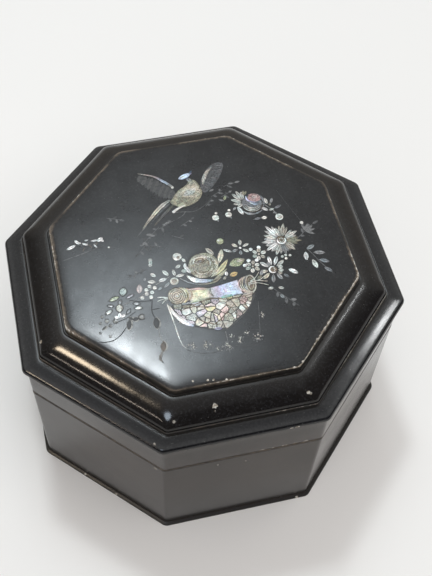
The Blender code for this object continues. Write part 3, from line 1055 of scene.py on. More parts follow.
def lay_small_rose(pearl):
    """Half-open rose: pink heart, blue-grey petals, and a fan of pale sepals on its left."""
    middle = (32.6, 24.2)
    pearl.dot(middle, 5.6, "slate", STROKES)
    pearl.arc((33, 24.6), 6.2, -40, 75, [0.5, 1.6, 0.5], "slate dusk", style=STROKES)
    heart = [(31.2, 26.2), (34.2, 24.9), (37.4, 25.6), (38, 28.4), (35.8, 30.4), (32, 30.4)]
    pearl.plate(smooth_line(heart, 2, closed=True), "rose", STROKES, layer=2, turn=20)
    pearl.leaf((35, 28.4), 10, 4, 2.6, "pink", layer=3)
    pearl.line(
        [(30.4, 29.6), (30.6, 27), (33, 25), (36.4, 24.2)], [0.5, 1, 1, 0.4], "ice lavender slate", layer=4
    )
    pearl.line([(31.4, 25), (33.6, 23.4), (36.8, 23.2)], [0.4, 0.8, 0.4], "white ice slate", layer=3)
    for step, reach in enumerate((3.6, 4.6, 5.6)):
        pearl.arc((32.8, 24.6), reach, 195, 325 - 8 * step, [0.4, 0.8, 0.4], "grey white slate", layer=1)
        pearl.arc((32.8, 24.6), reach + 0.5, 190, 330, 0.25, "umber", layer=3)
    pearl.arc((32.2, 24.2), 7, 215, 320, [0.5, 1.7, 1.1, 0.5], "grey slate", style=STROKES)
    fan = [
        ((27.6, 26.2), (21.9, 28.9)), ((27.6, 26.8), (23.4, 32.8)), ((28.2, 27.2), (26, 34.2)),
        ((28.6, 27.6), (28.6, 33.2)), ((27.4, 25.6), (22.6, 25.6)), ((27.8, 24.8), (24.6, 23.4)),
    ]
    for root, tip in fan:
        pearl.between(root, tip, 2, "white", tip=0.7, base=1.1, taper=0.25, style=BARBS)
    for root, tip in (((28.4, 29.6), (30.2, 34)), ((29.6, 30.4), (31.6, 33.2))):
        pearl.between(root, tip, 1.2, "olive", tip=0.9)
    pearl.leaves([
        (25.3, 20.6, -72, 6.2, 2.4, "bright"), (22.6, 22.6, 40, 3, 1.2, "grey"),
        (19.2, 30.8, 60, 3.2, 1.6, "lichen"),
    ])
    for place, radius in (((11.3, 18.7), 1.9), ((18.5, 19.3), 1.8)):
        pearl.dot(place, radius, "white", VEINS)
        pearl.dot((place[0] + 0.9, place[1] + 2.8), 0.8, "white")
        pearl.petal((place[0] + 0.6, place[1] - 1.4), -75, 1.6, 0.7, "grey")


def lay_buds(pearl, paint):
    """The string of buds between the small rose and the large daisy."""
    paint.line([(37.6, 24.2), (40.2, 20.6), (42.4, 18), (44, 13.4)], 0.45, "grey pale")
    pearl.leaves([
        (40.3, 24.4, 95, 4.4, 1.9, "white"), (43.2, 24, 65, 4, 1.6, "grey"),
        (41.8, 21.8, 80, 2.2, 1.3, "cream"), (38.4, 19.2, -35, 4.2, 1.9, "bright"),
        (41.8, 18.3, 15, 3.2, 1.4, "white"), (45.6, 19.4, 20, 4.6, 1.7, "slate"),
        (43.2, 15.8, -10, 2.4, 1.1, "grey"), (36.6, 13.6, 5, 3.4, 2.1, "white"),
        (32.9, 13.6, 5, 4.4, 1.6, "slate"),
    ])
    pearl.dot((44.6, 12.6), 2.2, "white", VEINS)
    pearl.arc((44.6, 12.7), 1.1, 190, 350, 0.5, "umber", layer=2)


def lay_large_daisy(pearl):
    """Broad lobed petals, each of three pointed engraved plates, round a bright ring."""
    middle = np.array((41.6, -2.4))
    petals = [
        ((35.4, 8.4), "bright"), ((40.4, 6.2), "white"), ((45.6, 8.2), "cream"), ((51.4, 2), "white"),
        ((52.4, -4.6), "olive"), ((47.4, -10), "cream"), ((41.8, -12), "grey"), ((36.4, -11.4), "white"),
        ((32, -7.6), "bright"), ((30.8, -2), "bright"), ((33.2, 2.4), "white"),
    ]
    for tip, tint in petals:
        run = np.array(tip) - middle
        reach = float(np.linalg.norm(run))
        turn = math.degrees(math.atan2(run[1], run[0]))
        for lobe, share, wide in ((-15, 0.84, 1.7), (15, 0.86, 1.7), (0, 1, 2.1)):
            root = around(middle, 2.4, turn + lobe * 0.6)
            layer = 1 if lobe == 0 else 0
            pearl.petal(
                root, turn + lobe, reach * share - 2.4, wide, tint, tip=1, base=1.1, style=BARBS, layer=layer
            )
    pearl.dot(middle, 2.7, "umber", layer=2)
    pearl.arc(middle, 2.2, 150, 385, [0.5, 1.1, 1.1, 0.5], "bright", layer=3, ends=0.6)
    for step in range(7):
        pearl.dot(around(middle, 1.1, 30 + 51 * step), 0.32, "white", layer=4)


def lay_small_daisy(pearl):
    """Narrow petals round a ring: bright above, grey below."""
    middle = (32.6, -19.5)
    petals = [
        (12, 5.6, "white"), (34, 8.2, "white"), (62, 8.8, "bright"), (93, 8.6, "bright"), (134, 8, "bright"),
        (112, 5.4, "grey"), (183, 6.8, "cream"), (216, 7.8, "ivory"), (257, 8, "grey"), (296, 7.4, "grey"),
        (-15, 5.4, "white"), (-38, 5.2, "cream"),
    ]
    for turn, reach, tint in petals:
        pearl.petal(around(middle, 2.5, turn), turn, reach - 2.5, 2.1, tint, base=1.2, taper=0.3)
    pearl.dot(middle, 2.2, "umber")
    pearl.arc(middle, 1.9, 60, 300, [0.5, 0.9, 0.9, 0.5], "bright", layer=1, ends=0.6)
    pearl.arc(middle, 1, -60, 60, 0.5, "white", layer=1, ends=0.6)
    pearl.dots([(41.3, -12.1), (43.5, -12.6), (41, -14.1), (39.4, -12.6)], 0.8, "white")
    pearl.leaf((42.6, -22.4), -38, 5.6, 2.6, "bright")
    pearl.leaf((38.4, -24.4), -48, 3.6, 1.6, "slate")


def lay_right_leaves(pearl, paint):
    """Loose leaves to the right of the daisies and a faded sprig above them."""
    pearl.leaves([
        (51.6, -14.6, 80, 5.4, 2.7, "bright"), (55.4, -9.6, 20, 5, 2.4, "grey"),
        (59, -13.8, -12, 6.2, 2.5, "grey"), (54.8, -20.2, -78, 6, 2.7, "white"),
        (60.2, -19.2, -25, 5.6, 2.4, "slate"), (60.6, -24.8, -45, 5, 2.2, "slate"),
    ])
    paint.line([(62.4, -27.4), (58, -20), (55.6, -14.6), (53.4, -10.6)], 0.4, "faint")
    pearl.dot((55.2, 6.6), 1, "white")
    for turn in (95, 60, 30, 5, -30):
        paint.petal((55.6, 1), turn, 5.6, 1.5, "grey", tip=1.2)
    spray_of_leaves(paint, (50, -3), (61, 5), 5, 3.4, 1.4, "faint faint grey")
    spray_of_leaves(paint, (30, -31), (40, -43), 6, 3.6, 1.6, "faint grey")
    pearl.leaves([
        (33, -36, -60, 3.2, 1.7, "grey"), (33.8, -31, -20, 3.2, 1.7, "white"),
        (28.6, -30.2, 0, 3.2, 1.7, "white"),
    ])


def lay_clusters(pearl):
    """Small blossoms that fill the garland beside the large rose."""
    star = (19.3, -3)
    pearl.flower(star, 6, 1.3, 5, 1.7, "white white cream grey grey white", start=20, taper=0.3)
    pearl.dot(star, 0.7, "bright", layer=1)
    pearl.leaf((12.4, -3.4), -30, 5.2, 1.5, "bright")
    pearl.leaf((15.6, -11.4), 14, 9, 5.2, "lichen", tip=1.2, base=0.5, style=SCALES)
    pearl.leaf((17.4, -10.6), 14, 5, 1.8, "cream", layer=1)
    for middle in ((27.8, -8.8), (22.9, -15.6)):
        pearl.flower(middle, 6, 1, 3.9, 2.1, "white cream white sea", start=15, tip=0.2)
        pearl.dot(middle, 0.6, "cream", layer=1)
    pearl.dots([(24.4, -5), (28.8, -4.6), (19, -14.2), (21.6, -11.6), (25.8, -12.2)], 1.05, "bright")
    pearl.leaf((12.2, -18.2), 15, 4.6, 2.8, "honey", tip=1.1)
    pearl.leaf((8.6, -17.2), 80, 3, 1.7, "bright")
    pearl.leaf((7.2, -19.6), 50, 2.6, 1.4, "cream")
    pearl.dot((10, 3.2), 1.9, "lichen", STROKES)
    pearl.dot((9.4, 3.8), 0.7, "white", layer=2)
    pearl.leaf((26.4, -20.2), 60, 4.4, 2, "grey")
    pearl.leaf((24.6, -22.6), 30, 3.6, 1.5, "olive")


def lay_large_rose(pearl, paint):
    """The full rose: speckled ball with engraved rings, dark heart, white under-petals, pale sepals."""
    paint.dot((-1.6, -10.4), 9.4, "black")
    ball = [
        (-9.4, -8.6), (-8.4, -14), (-3, -17.6), (3.4, -15.4), (6.2, -10.2), (4.6, -5), (0, -2.2), (-6, -3.4),
    ]
    pearl.plate(smooth_line(ball, 5, closed=True), "olive", SCALES, turn=15)
    rings = [
        ((-1.6, -10), 6.6, -80, 70, 1.7, "cream ivory olive"),
        ((-1.8, -9.6), 6.3, 80, 190, 1.5, "ivory cream olive"),
        ((-2, -10.4), 4.9, 195, 350, 1.7, "ivory cream"),
        ((-2.4, -8.6), 4.6, -30, 165, 1.2, "white cream"),
        ((-2.2, -10.2), 6.6, 200, 275, 1.6, "olive cream"),
    ]
    for place, reach, start, end, wide, tints in rings:
        pearl.arc(place, reach, start, end, [0.5, wide, wide, 0.5], tints, style=SCALES, layer=1)
        pearl.arc(place, reach - 0.75 * wide, start, end, 0.32, "umber", layer=3)
    heart = (-3.2, -6.9)
    pearl.leaf(heart, 20, 6.4, 3.8, "umber", tip=0, base=0, layer=3)
    pearl.arc(heart, 3.2, 5, 205, [0.4, 1, 0.4], "ivory white", flat=0.68, layer=4)
    pearl.arc(heart, 3, 205, 350, [0.3, 0.7, 0.3], "cream olive", flat=0.62, layer=4)
    pearl.arc(heart, 1.6, 20, 220, 0.4, "cream olive", flat=0.55, layer=5)
    pearl.leaf((heart[0] + 0.4, heart[1] - 0.3), 10, 1.6, 0.7, "grey", layer=5)
    for step in range(16):
        pearl.dot(around((-1.6, -10), 5.6, 22.5 * step), 0.28, "white", layer=5)
    pearl.between((-11.6, -7.6), (-9, -13.4), 2.2, "bright", tip=0.4)
    pearl.line(
        [(-11.4, -14.2), (-8, -17.6), (-2.8, -19.4), (1.4, -19.4)], [0.8, 3, 2.2, 0.6],
        "white bright ice sea", STROKES, layer=1,
    )
    pearl.line(
        [(-15, -15.2), (-10.6, -18.8), (-4.6, -20.9), (1.6, -20.8), (5.6, -18.6)], [0.4, 0.9, 1, 1, 0.5],
        "grey slate olive cream", STROKES,
    )
    pearl.between((1.6, 0.6), (5, -4.4), 2.5, "cream", tip=0.5)
    pearl.between((9.6, -1.6), (7.2, -10.4), 3, "ivory", tip=0.9, base=1.1, bend=-0.10)
    pearl.between((11.4, -8.4), (3.4, -19), 2.9, "yellow", tip=1.1, base=1.1, bend=-0.16)
    pearl.between((9.8, -14), (1.6, -21.2), 1.9, "olive", tip=1.1, base=1.1, bend=-0.12, style=STROKES)
    pearl.between(
        (6.6, -13.4), (0.8, -18.8), 1.5, "ivory", tip=1.1, base=1.1, bend=-0.16, style=STROKES, layer=1
    )


def lay_left_flowers(pearl, paint):
    """Blossoms, buds and leaves that trail away to the left of the large rose."""
    pearl.dot((-13.8, -1.8), 2.4, "white", VEINS)
    pearl.dot((-13.4, -2.4), 0.9, "umber", layer=1)
    pearl.leaves([
        (-11, -4.6, -60, 3, 1.6, "white"), (-14.6, -7.8, 30, 3.4, 2, "white"),
        (-12, -11.2, -10, 3.6, 2.2, "sea"), (-11, -8, 70, 3.2, 1.6, "bright"),
        (-14.6, -13.4, 5, 5, 1.9, "white"), (-17.4, -11, 95, 4.4, 1.8, "white"),
        (-21.6, -10.4, 125, 4.6, 2.2, "white"), (-23.8, -14.2, 10, 4.6, 2.2, "bright"),
        (-22.2, -17.6, 40, 4.6, 1.6, "grey"), (-28, -10.4, 130, 3.6, 2.1, "white"),
        (-29.4, -14.2, 165, 4.4, 2.2, "white"), (-36.2, -17, 80, 5.6, 3, "pink"),
        (-32.6, -12, 60, 2.6, 1.3, "grey"), (-26, -19, 30, 3, 1.4, "grey"),
    ])
    ring = (-18.2, -16.2)
    pearl.dot(ring, 2.3, "cream", STROKES)
    pearl.dot(ring, 1.4, "umber", layer=1)
    pearl.arc(ring, 1.9, 10, 190, 0.5, "white", layer=2, ends=0.6)
    pearl.dots(
        [
            (-27.6, -1), (-28.2, -4), (-31, -16.6), (-33, -18.4), (-28.6, -18), (-33.2, -20.8),
            (-30.4, -20.4), (-31.4, -23), (-35.8, -22.6),
        ],
        1.05, "white", style=VEINS,
    )
    pearl.leaf((-27.8, -2.4), 95, 3.6, 1.9, "sea")
    for middle, turn, long, wide, tint, style in (
        ((-44.5, -17), 75, 5, 3.6, "sea", SCALES), ((-49.6, -20.2), 16, 5.2, 2.2, "lichen", SCALES),
        ((-47.9, -26), 80, 4.4, 3.4, "cream", SCALES), ((-53.4, -27.2), 25, 3.8, 1.8, "white", VEINS),
        ((-39.1, -25.2), -15, 3.4, 1.5, "grey", VEINS), ((-38.7, -27.9), -8, 3.8, 1.6, "white", VEINS),
        ((-41.6, -20.4), 20, 4, 1.2, "lilac", STROKES), ((-47, -22.6), 60, 2.4, 1.6, "grey", SCALES),
        ((-52, -23.8), -20, 3, 1.4, "grey", VEINS), ((-43.8, -28.8), 50, 3, 1.4, "slate", VEINS),
    ):
        # A black leaf a little larger than each shell leaf lies under it: a dark outline, partly a painted
        # shadow.
        paint.leaf(middle, turn, long + 1.2, wide + 1, "black")
        pearl.leaf(middle, turn, long, wide, tint, style=style, layer=1)
    pearl.leaves([
        (-48.6, -30.2, 70, 3.4, 1.7, "bright"), (-47, -30.8, 20, 3, 1.7, "bright"),
        (-50.2, -30.8, -30, 2.8, 1.7, "bright"),
    ], layer=1)
    for middle, radius in (
        ((-51, -32.8), 1.3), ((-55.1, -31.9), 1.1), ((-53.8, -34.8), 0.9), ((-58.4, -32.6), 0.7),
        ((-54.9, -40.6), 0.7), ((-59.3, -37.8), 0.7), ((-38, -33.3), 1.6), ((-57, -29), 0.8),
    ):
        paint.dot(middle, radius * 0.8, "pale")
        paint.arc(middle, radius, 30, 330, 0.32 * radius, "dim", layer=1)
        pearl.dot((middle[0] + 0.2, middle[1] + 0.3), 0.35 * radius, "grey")
    for middle, turn, long, wide, edge, core in (
        ((-41.2, -33.8), 10, 3.2, 2, "black", "olive"), ((-44.9, -36.2), -105, 5.8, 2.3, "black", "olive"),
        ((-31.7, -38.2), -98, 6.4, 3, "black", "moss"), ((-30.9, -51.6), -103, 5.6, 2.7, "umber", "tan"),
        ((-43.4, -33), -40, 2.6, 1.5, "black", "grey"), ((-57, -35.4), 30, 2.6, 0.9, "black", "grey"),
    ):
        paint.leaf((middle[0] + 0.3, middle[1] - 0.2), turn, long + 1, wide + 0.9, "pale")
        paint.leaf(middle, turn, long, wide, edge, layer=2)
        for step in range(5):
            angle = math.radians(turn)
            away = long * (0.14 * step - 0.28)
            aside = wide * paint.draw.uniform(-0.22, 0.22)
            spot = (middle[0] + away * math.cos(angle) - aside * math.sin(angle),
                    middle[1] + away * math.sin(angle) + aside * math.cos(angle))
            pearl.leaf(spot, turn + 40 * (-1) ** step, 0.24 * long, 0.22 * wide, core)
    for points, wide in (
        ([(-61, -42.6), (-55, -43.4), (-50.4, -41.4), (-46.4, -37.4)], 0.45),
        ([(-31.2, -24.6), (-32.5, -31), (-31.8, -35.4)], 0.4), ([(-32.8, -30.3), (-28.4, -30.2)], 0.35),
        ([(-42.6, -22.4), (-37, -24.4), (-31.4, -25)], 0.35),
        ([(-50, -33.4), (-46, -32.6), (-40, -29.4)], 0.35),
    ):
        paint.line(points, wide, "black", layer=1)
    paint.line([(-30.8, -41.4), (-31.6, -45), (-30.6, -49)], 0.3, "grey pale")
    paint.line([(-31.6, -54), (-33.6, -57.6), (-32.6, -60.4)], [0.9, 1.4, 0.4], "pale umber grey")
    spray_of_leaves(paint, (-30, -6), (-40.6, -9.4), 6, 2.6, 1.1, "faint dim grey")
    paint.line([(-46, -24.4), (-38, -22.4), (-29, -17), (-20, -13)], 0.4, "grey pale")


def lay_left_sprig(pearl, paint):
    """A worn sprig by itself at the left: bright flakes with painted shadows, over rubbed line work."""
    for start, end, wide in (
        ((-68.8, 14.6), (-63.2, 16), 1.9), ((-63.5, 19.8), (-61.7, 16.4), 1.7),
        ((-62.6, 17.6), (-60.4, 16.9), 1.1), ((-60.2, 17.1), (-57.2, 14.8), 1.2),
        ((-58.8, 18.3), (-56.4, 18.2), 0.9), ((-55.6, 17.5), (-51.6, 16.8), 1.1),
        ((-52.4, 16.4), (-48.9, 18), 2.2), ((-50.2, 17.6), (-49.2, 15.4), 1.4),
        ((-54.3, 15.4), (-53.1, 12.2), 0.8),
    ):
        # A black copy set a little to the front and right of each flake is a painted shadow.
        paint.between((start[0] + 0.4, start[1] - 0.9), (end[0] + 0.9, end[1] - 0.9), wide + 0.9, "black")
        pearl.between(start, end, wide, "bright", tip=0.3, base=1.2, bend=0.1)
    pearl.dot((-46.9, 11.5), 0.6, "white")
    for index in range(10):
        x = -62 + 1.2 * index
        tint = ("black", "faint", "umber")[index % 3]
        paint.leaf((x, 14.4 + 2.2 * math.sin(index * 1.9)), 60 * (-1) ** index, 3.4, 0.7, tint)
    paint.line([(-71, 8.4), (-64.6, 9.6), (-57.4, 11.2), (-49, 13)], 0.35, "faint grey dim")


def ellipse(middle, wide, deep, count=24, turn=0):
    """Places round an ellipse, anticlockwise."""
    cos, sin = math.cos(math.radians(turn)), math.sin(math.radians(turn))
    places = []
    for step in range(count):
        x, y = wide * math.cos(math.tau * step / count), deep * math.sin(math.tau * step / count)
        places.append((middle[0] + x * cos - y * sin, middle[1] + x * sin + y * cos))
    return places


def lay_scroll(pearl, paint):
    """The rolled sheet in front of the rose: a field from yellow to blue, banded ends, tassels."""
    top = [
        (-19, -19.8), (-11.3, -21.6), (-5.4, -22.6), (-0.8, -23.2), (6.8, -22.3), (14.4, -20.9), (19.6, -20),
    ]
    bottom = [
        (20, -31), (12.1, -31.6), (4.8, -31.6), (-2.1, -30.4), (-7, -30.6), (-13.7, -31.2), (-19.4, -30.6),
    ]
    paint.plate(smooth_line(bottom[::-1], 4) + smooth_line(top[::-1], 4), "black", layer=1)
    pearl.line(
        [(-13, -26.7), (-6.4, -26.5), (-1.6, -26.8), (5.4, -27), (13.4, -26.3)], [8.6, 7.4, 6.2, 8.2, 9.2],
        "cream straw straw straw cream lilac lavender ice ice lilac", layer=2, ends=1,
    )
    bands = [
        ([(-12.4, -22.7), (-7, -23.3), (-2.6, -24.2)], [0.8, 1.7, 0.6], "pink pink cream", PLAIN),
        ([(-12, -30.4), (-8, -29.8), (-3, -29.2)], [0.6, 1.3, 0.5], "lichen cream", PLAIN),
        ([(-1.4, -24.2), (-2, -26.6), (-0.8, -29.4)], [0.7, 1.3, 0.6], "slate cream grey", SCALES),
        ([(3.2, -24), (5.4, -25.6), (5.8, -28.2)], [0.8, 1.9, 0.8], "ice lavender lilac", PLAIN),
        ([(2.8, -30.7), (5.4, -30.3), (8.6, -30.4)], [0.9, 2, 0.8], "turquoise sea turquoise", PLAIN),
        ([(9, -30.8), (12, -30.6), (16, -31)], [0.4, 0.8, 0.4], "slate grey", PLAIN),
    ]
    for points, wide, tints, style in bands:
        pearl.line(points, wide, tints, style, layer=4)
    left, right = (-18.9, -25.2), (19.2, -25.6)
    for step, tint in enumerate(("ivory", "yellow", "cream", "tan")):
        reach = 4.9 + 0.98 * step
        pearl.arc(left, reach, -66 + 7 * step, 66 - 7 * step, 0.72, tint, flat=5.2 / reach, layer=2)
    for step, tint in enumerate(("pink", "cream", "ivory", "grey")):
        reach = 6.2 - 0.95 * step
        pearl.arc(right, reach, 122 - 6 * step, 238 + 6 * step, 0.6, tint, flat=5.2 / reach, layer=3)
    pearl.plate(ellipse(left, 4.5, 5.1, turn=8), "grey", STROKES, layer=3)
    for share in (0.93, 0.72, 0.5, 0.27):
        pearl.line(
            ellipse(left, 4.5 * share, 5.1 * share, 10, 8), 0.36, "umber", layer=5, closed=True, steps=3
        )
        pearl.line(
            ellipse(left, 4.5 * share - 0.45, 5.1 * share - 0.5, 10, 8), 0.5, "ivory", layer=5, closed=True,
            steps=3,
        )
    pearl.plate(ellipse(right, 2.9, 5.4, turn=-6), "umber", STROKES, layer=3)
    pearl.line(ellipse(right, 2.5, 5, 12, -6), 0.75, "cream", layer=5, closed=True, steps=3)
    pearl.line(ellipse(right, 1.3, 3.4, 10, -6), 0.4, "olive", layer=5, closed=True, steps=3)
    pearl.leaf((18.4, -25.6), 80, 2.6, 1.1, "white", layer=6)
    for start, middle, tip in (
        ((18.8, -25), (22.6, -24.6), (28, -26)), ((18.8, -25.8), (23, -26), (28, -28.4)),
        ((19.2, -24.4), (22.4, -22.6), (25, -19.6)), ((20.4, -24.6), (24.4, -24.2), (27, -22.6)),
    ):
        pearl.line([start, middle, tip], [0.6, 0.5, 0.35], "white cream", layer=7)
    for tip in ((-28.4, -24), (-28.8, -26.2), (-27, -28.2)):
        pearl.line(
            [(-23, -25.6), ((-23 + tip[0]) / 2, (tip[1] - 25.6) / 2 + 0.4), tip], [0.8, 0.6, 0.4], "white",
            layer=1,
        )


def clipped(outline, point, normal):
    """The part of a convex outline behind a line through a point."""
    kept = []
    for index, here in enumerate(outline):
        after = outline[(index + 1) % len(outline)]
        side, side_after = (here - point) @ normal, (after - point) @ normal
        if side <= 0:
            kept.append(here)
        if side * side_after < 0:
            kept.append(here + (after - here) * side / (side - side_after))
    return kept


CHIP_PITCH = 4.3
CHIP_TINTS = [
    "cream", "white", "ivory", "cream", "pink", "white", "lilac", "cream", "yellow", "ivory", "pink",
]
SHADED_CHIP_TINTS = ["slate", "lilac", "grey", "olive"]
BOWL_TOP = -29.6


def chip_seeds(draw):
    """Middles of the chips, in uneven rows from the foot of the bowl up."""
    seeds = []
    for row in range(7):
        for column in range(13):
            x = -25 + CHIP_PITCH * (column + 0.5 * (row % 2)) + draw.uniform(-1.6, 1.6)
            y = -49.5 + CHIP_PITCH * 0.86 * row + draw.uniform(-1.5, 1.5)
            seeds.append(np.array([x, y]))
    return seeds


def chip_cell(seed, seeds):
    """The ground that is nearer to one chip's middle than to any other's."""
    cell = [seed + np.array(corner) for corner in ((-4, -4), (4, -4), (4, 4), (-4, 4))]
    for other in seeds:
        step = other - seed
        distance = float(np.linalg.norm(step))
        if 0 < distance < 10:
            cell = clipped(cell, seed + step * 0.5, step / distance)
    return cell


def chip_in_bowl(shard, curve, draw):
    """What is left of a chip inside the bowl's curve, with an uneven edge; None where too little is."""
    kept = shard
    for here, after in zip(curve, curve[1:]):
        along = after - here
        normal = np.array([along[1], -along[0]]) / np.linalg.norm(along)
        kept = clipped(kept, here - normal * draw.uniform(0, 1), normal)
        if len(kept) < 3:
            break
    if len(kept) >= 3:
        kept = clipped(kept, np.array((0, BOWL_TOP)), np.array((0, 1)))
    kept = [p for p, q in zip(kept, kept[1:] + kept[:1]) if np.linalg.norm(p - q) > 0.4]
    area = 0.5 * sum(a[0] * b[1] - b[0] * a[1] for a, b in zip(kept, kept[1:] + kept[:1]))
    return kept if len(kept) >= 3 and area >= 1.3 else None


def lay_chips(pearl, outline):
    """Broken chips that fill the bowl, darker near its upper left as painted shade under the scroll, bright
    elsewhere.
    """
    draw = random.Random(23)
    seeds = chip_seeds(draw)
    curve = outline[:12]
    for seed in seeds:
        cell = chip_cell(seed, seeds)
        shards = [cell]
        if draw.random() < 0.3:
            angle = draw.uniform(0, math.pi)
            across = np.array((math.cos(angle), math.sin(angle)))
            shards = [clipped(cell, seed, across), clipped(cell, seed, -across)]
        for shard in shards:
            kept = chip_in_bowl(shard, curve, draw)
            if kept is None:
                continue
            centre = sum(kept) / len(kept)
            # Chips near the upper left, under the scroll, mostly take darker tints: painted shade.
            dim = centre[1] > -34 - 0.12 * centre[0] and centre[0] < 2
            tint = draw.choice(SHADED_CHIP_TINTS) if dim and draw.random() < 0.75 else draw.choice(CHIP_TINTS)
            style = draw.choice([PLAIN, PLAIN, STROKES, SCALES])
            pearl.plate(
                shrunk(kept, draw.uniform(0.08, 0.24)), tint, style, layer=1, turn=draw.uniform(0, 180)
            )


def lay_basket(pearl, paint):
    """The bowl under the scroll: broken chips of shell set in dark lacquer, a bright rim on its left."""
    rim = [
        (-22.6, -30.4), (-21.8, -34.6), (-19.2, -39.6), (-14.6, -43.8), (-7.3, -46.9), (-1, -48.7),
        (1.6, -48.9), (5.4, -46.8), (10.1, -43.6), (14.8, -39.4), (18.2, -34.8), (20, -31.2), (-1, -29.4),
    ]
    outline = [np.array(p) for p in rim]
    paint.plate(shrunk(outline, -0.3), "dim")
    lay_chips(pearl, outline)
    cracks = [
        [(-21, -31.6), (-12, -31.9), (-2.4, -30.2), (7.4, -32.4), (19.6, -31.6)],
        [(-19, -34), (-12, -33), (-4, -35.4)], [(-6.4, -46.2), (0, -42.4), (8.4, -35.4)],
        [(-12.6, -38.8), (-8, -43), (-1, -45.8)], [(2, -33.4), (6.4, -37.4), (8, -42.8)],
        [(10, -33), (13.6, -36), (14.2, -40)],
    ]
    for points in cracks:
        pearl.line(points, [0.25, 0.6, 0.25], "umber", layer=3)
    pearl.line(
        [(-23.6, -30), (-22.2, -34.8), (-18.6, -40.2), (-14, -44)],
        [0.5, 1.9, 3, 0.9], "cream bright bright ice", layer=3,
    )
    pearl.leaf((-2.8, -47.6), -6, 4.4, 1.8, "lavender", layer=3)


def lay_garlands(pearl, paint):
    """Strings and tufts that hang from the bowl and the scroll, mostly worn to grey."""
    pearl.line(
        [(-24.4, -28.6), (-23.4, -38), (-22, -52), (-18.8, -56.4)], [0.8, 0.75, 0.5, 0.3], "white white slate"
    )
    paint.line(
        [(-20.2, -55.8), (-14, -59), (-6, -60), (1, -58), (9, -60), (15.4, -57), (18, -48), (20.4, -36)], 0.3,
        "faint dim faint",
    )
    paint.line([(0.4, -49.6), (0.2, -55), (-0.2, -62)], 0.35, "grey faint")
    paint.line([(-1, -52), (6, -53.6), (12, -51.4), (17.6, -52.6)], 0.3, "dim")
    tufts = [
        (-17.6, -54.2, 2.8, 15), (-10, -55.4, 2.9, 18), (-0.4, -57.4, 3, 18), (6.4, -55.8, 2.3, 12),
        (15.2, -56, 2.9, 16), (20, -44.5, 1.8, 9), (10, -53, 1.6, 6), (-5, -58.6, 1.6, 7),
        (2.6, -53.2, 1.4, 6),
    ]
    for x, y, reach, count in tufts:
        for step in range(2 * count):
            angle = paint.draw.uniform(0, math.tau)
            away = reach * math.sqrt(paint.draw.random())
            spot = (x + away * math.cos(angle), y + away * math.sin(angle))
            tint = paint.draw.choice(["pale", "grey", "grey", "faint", "black"])
            paint.leaf(spot, math.degrees(angle), paint.draw.uniform(0.5, 1.1), 0.42, tint)
            if step % 5 == 0:
                pearl.dot((x + 0.6 * away * math.cos(angle), y + 0.6 * away * math.sin(angle)), 0.33, "cream")


def lay_picture(lid, pearl_finish, paint_finish):
    """The whole picture: cut shell and faded paint."""
    pearl = Marquetry("pearl", pearl_finish, PEARL_TINTS, seed=7)
    paint = Marquetry("paint", paint_finish, PAINT_TINTS, seed=11, lift=0.03)
    lay_faded_foliage(paint)
    lay_bird(pearl, paint)
    lay_small_rose(pearl)
    lay_buds(pearl, paint)
    lay_large_daisy(pearl)
    lay_small_daisy(pearl)
    lay_right_leaves(pearl, paint)
    lay_clusters(pearl)
    lay_large_rose(pearl, paint)
    lay_left_flowers(pearl, paint)
    lay_left_sprig(pearl, paint)
    lay_basket(pearl, paint)
    lay_scroll(pearl, paint)
    lay_garlands(pearl, paint)
    return pearl.lay(lid) + paint.lay(lid)


# ---- finishes

def shader_group(name, inputs, outputs):
    """A shader node group with named sockets, and a sheet to fill it with."""
    group = bpy.data.node_groups.new(name, "ShaderNodeTree")
    add_sockets(group, inputs, outputs)
    sheet = NodeSheet(group)
    return group, sheet, sheet.node("NodeGroupInput").outputs, sheet.node("NodeGroupOutput").inputs


WEAR_LIMIT = 2.08            # edge and noise together must pass this, less the amount, to lay the ground bare
FLAKE_RAGGED = 1.5           # how far a flake's outline strays, in flake sizes


def edge_wear_and_highlight_group():
    """Lacquer rubbed along an edge: turned brown along its whole length, which on the rounded arris is partly
    a painted highlight, and broken through in ragged runs.
    """
    group, sheet, given, out = shader_group(
        "edge wear and highlight",
        [("Place", VECTOR, None), ("Edge", FLOAT, 0.0), ("Amount", FLOAT, 0.5), ("Run Scale", FLOAT, 60.0)],
        [("Browned And Highlight", FLOAT), ("Bare", FLOAT), ("Tone", FLOAT)],
    )
    runs = sheet.noise(given["Place"], given["Run Scale"], 2.0)
    patches = sheet.noise(given["Place"], 430.0, 3.0, 0.7)
    breaks = sheet.noise(given["Place"], 1100.0, 2.0, 0.6)
    ragged = sheet.plus(sheet.times(runs, 0.8), sheet.times(patches, 0.75))
    ragged = sheet.plus(ragged, sheet.times(breaks, 0.45))
    limit = sheet.minus(WEAR_LIMIT, given["Amount"])
    worn = sheet.plus(sheet.times(given["Edge"], 0.8), ragged)
    bare = sheet.ramp(sheet.minus(worn, limit), -0.03, 0.10)
    sheet.feed(out["Bare"], sheet.times(bare, sheet.ramp(given["Edge"], 0.05, 0.3)))
    browned_and_highlight = sheet.ramp(sheet.plus(given["Edge"], patches), 0.72, 1.28)
    sheet.feed(out["Browned And Highlight"], sheet.times(browned_and_highlight, sheet.ramp(runs, 0.36, 0.46, 0.25, 1.0)))
    sheet.feed(out["Tone"], sheet.noise(given["Place"], 620.0, 2.0))
    return group


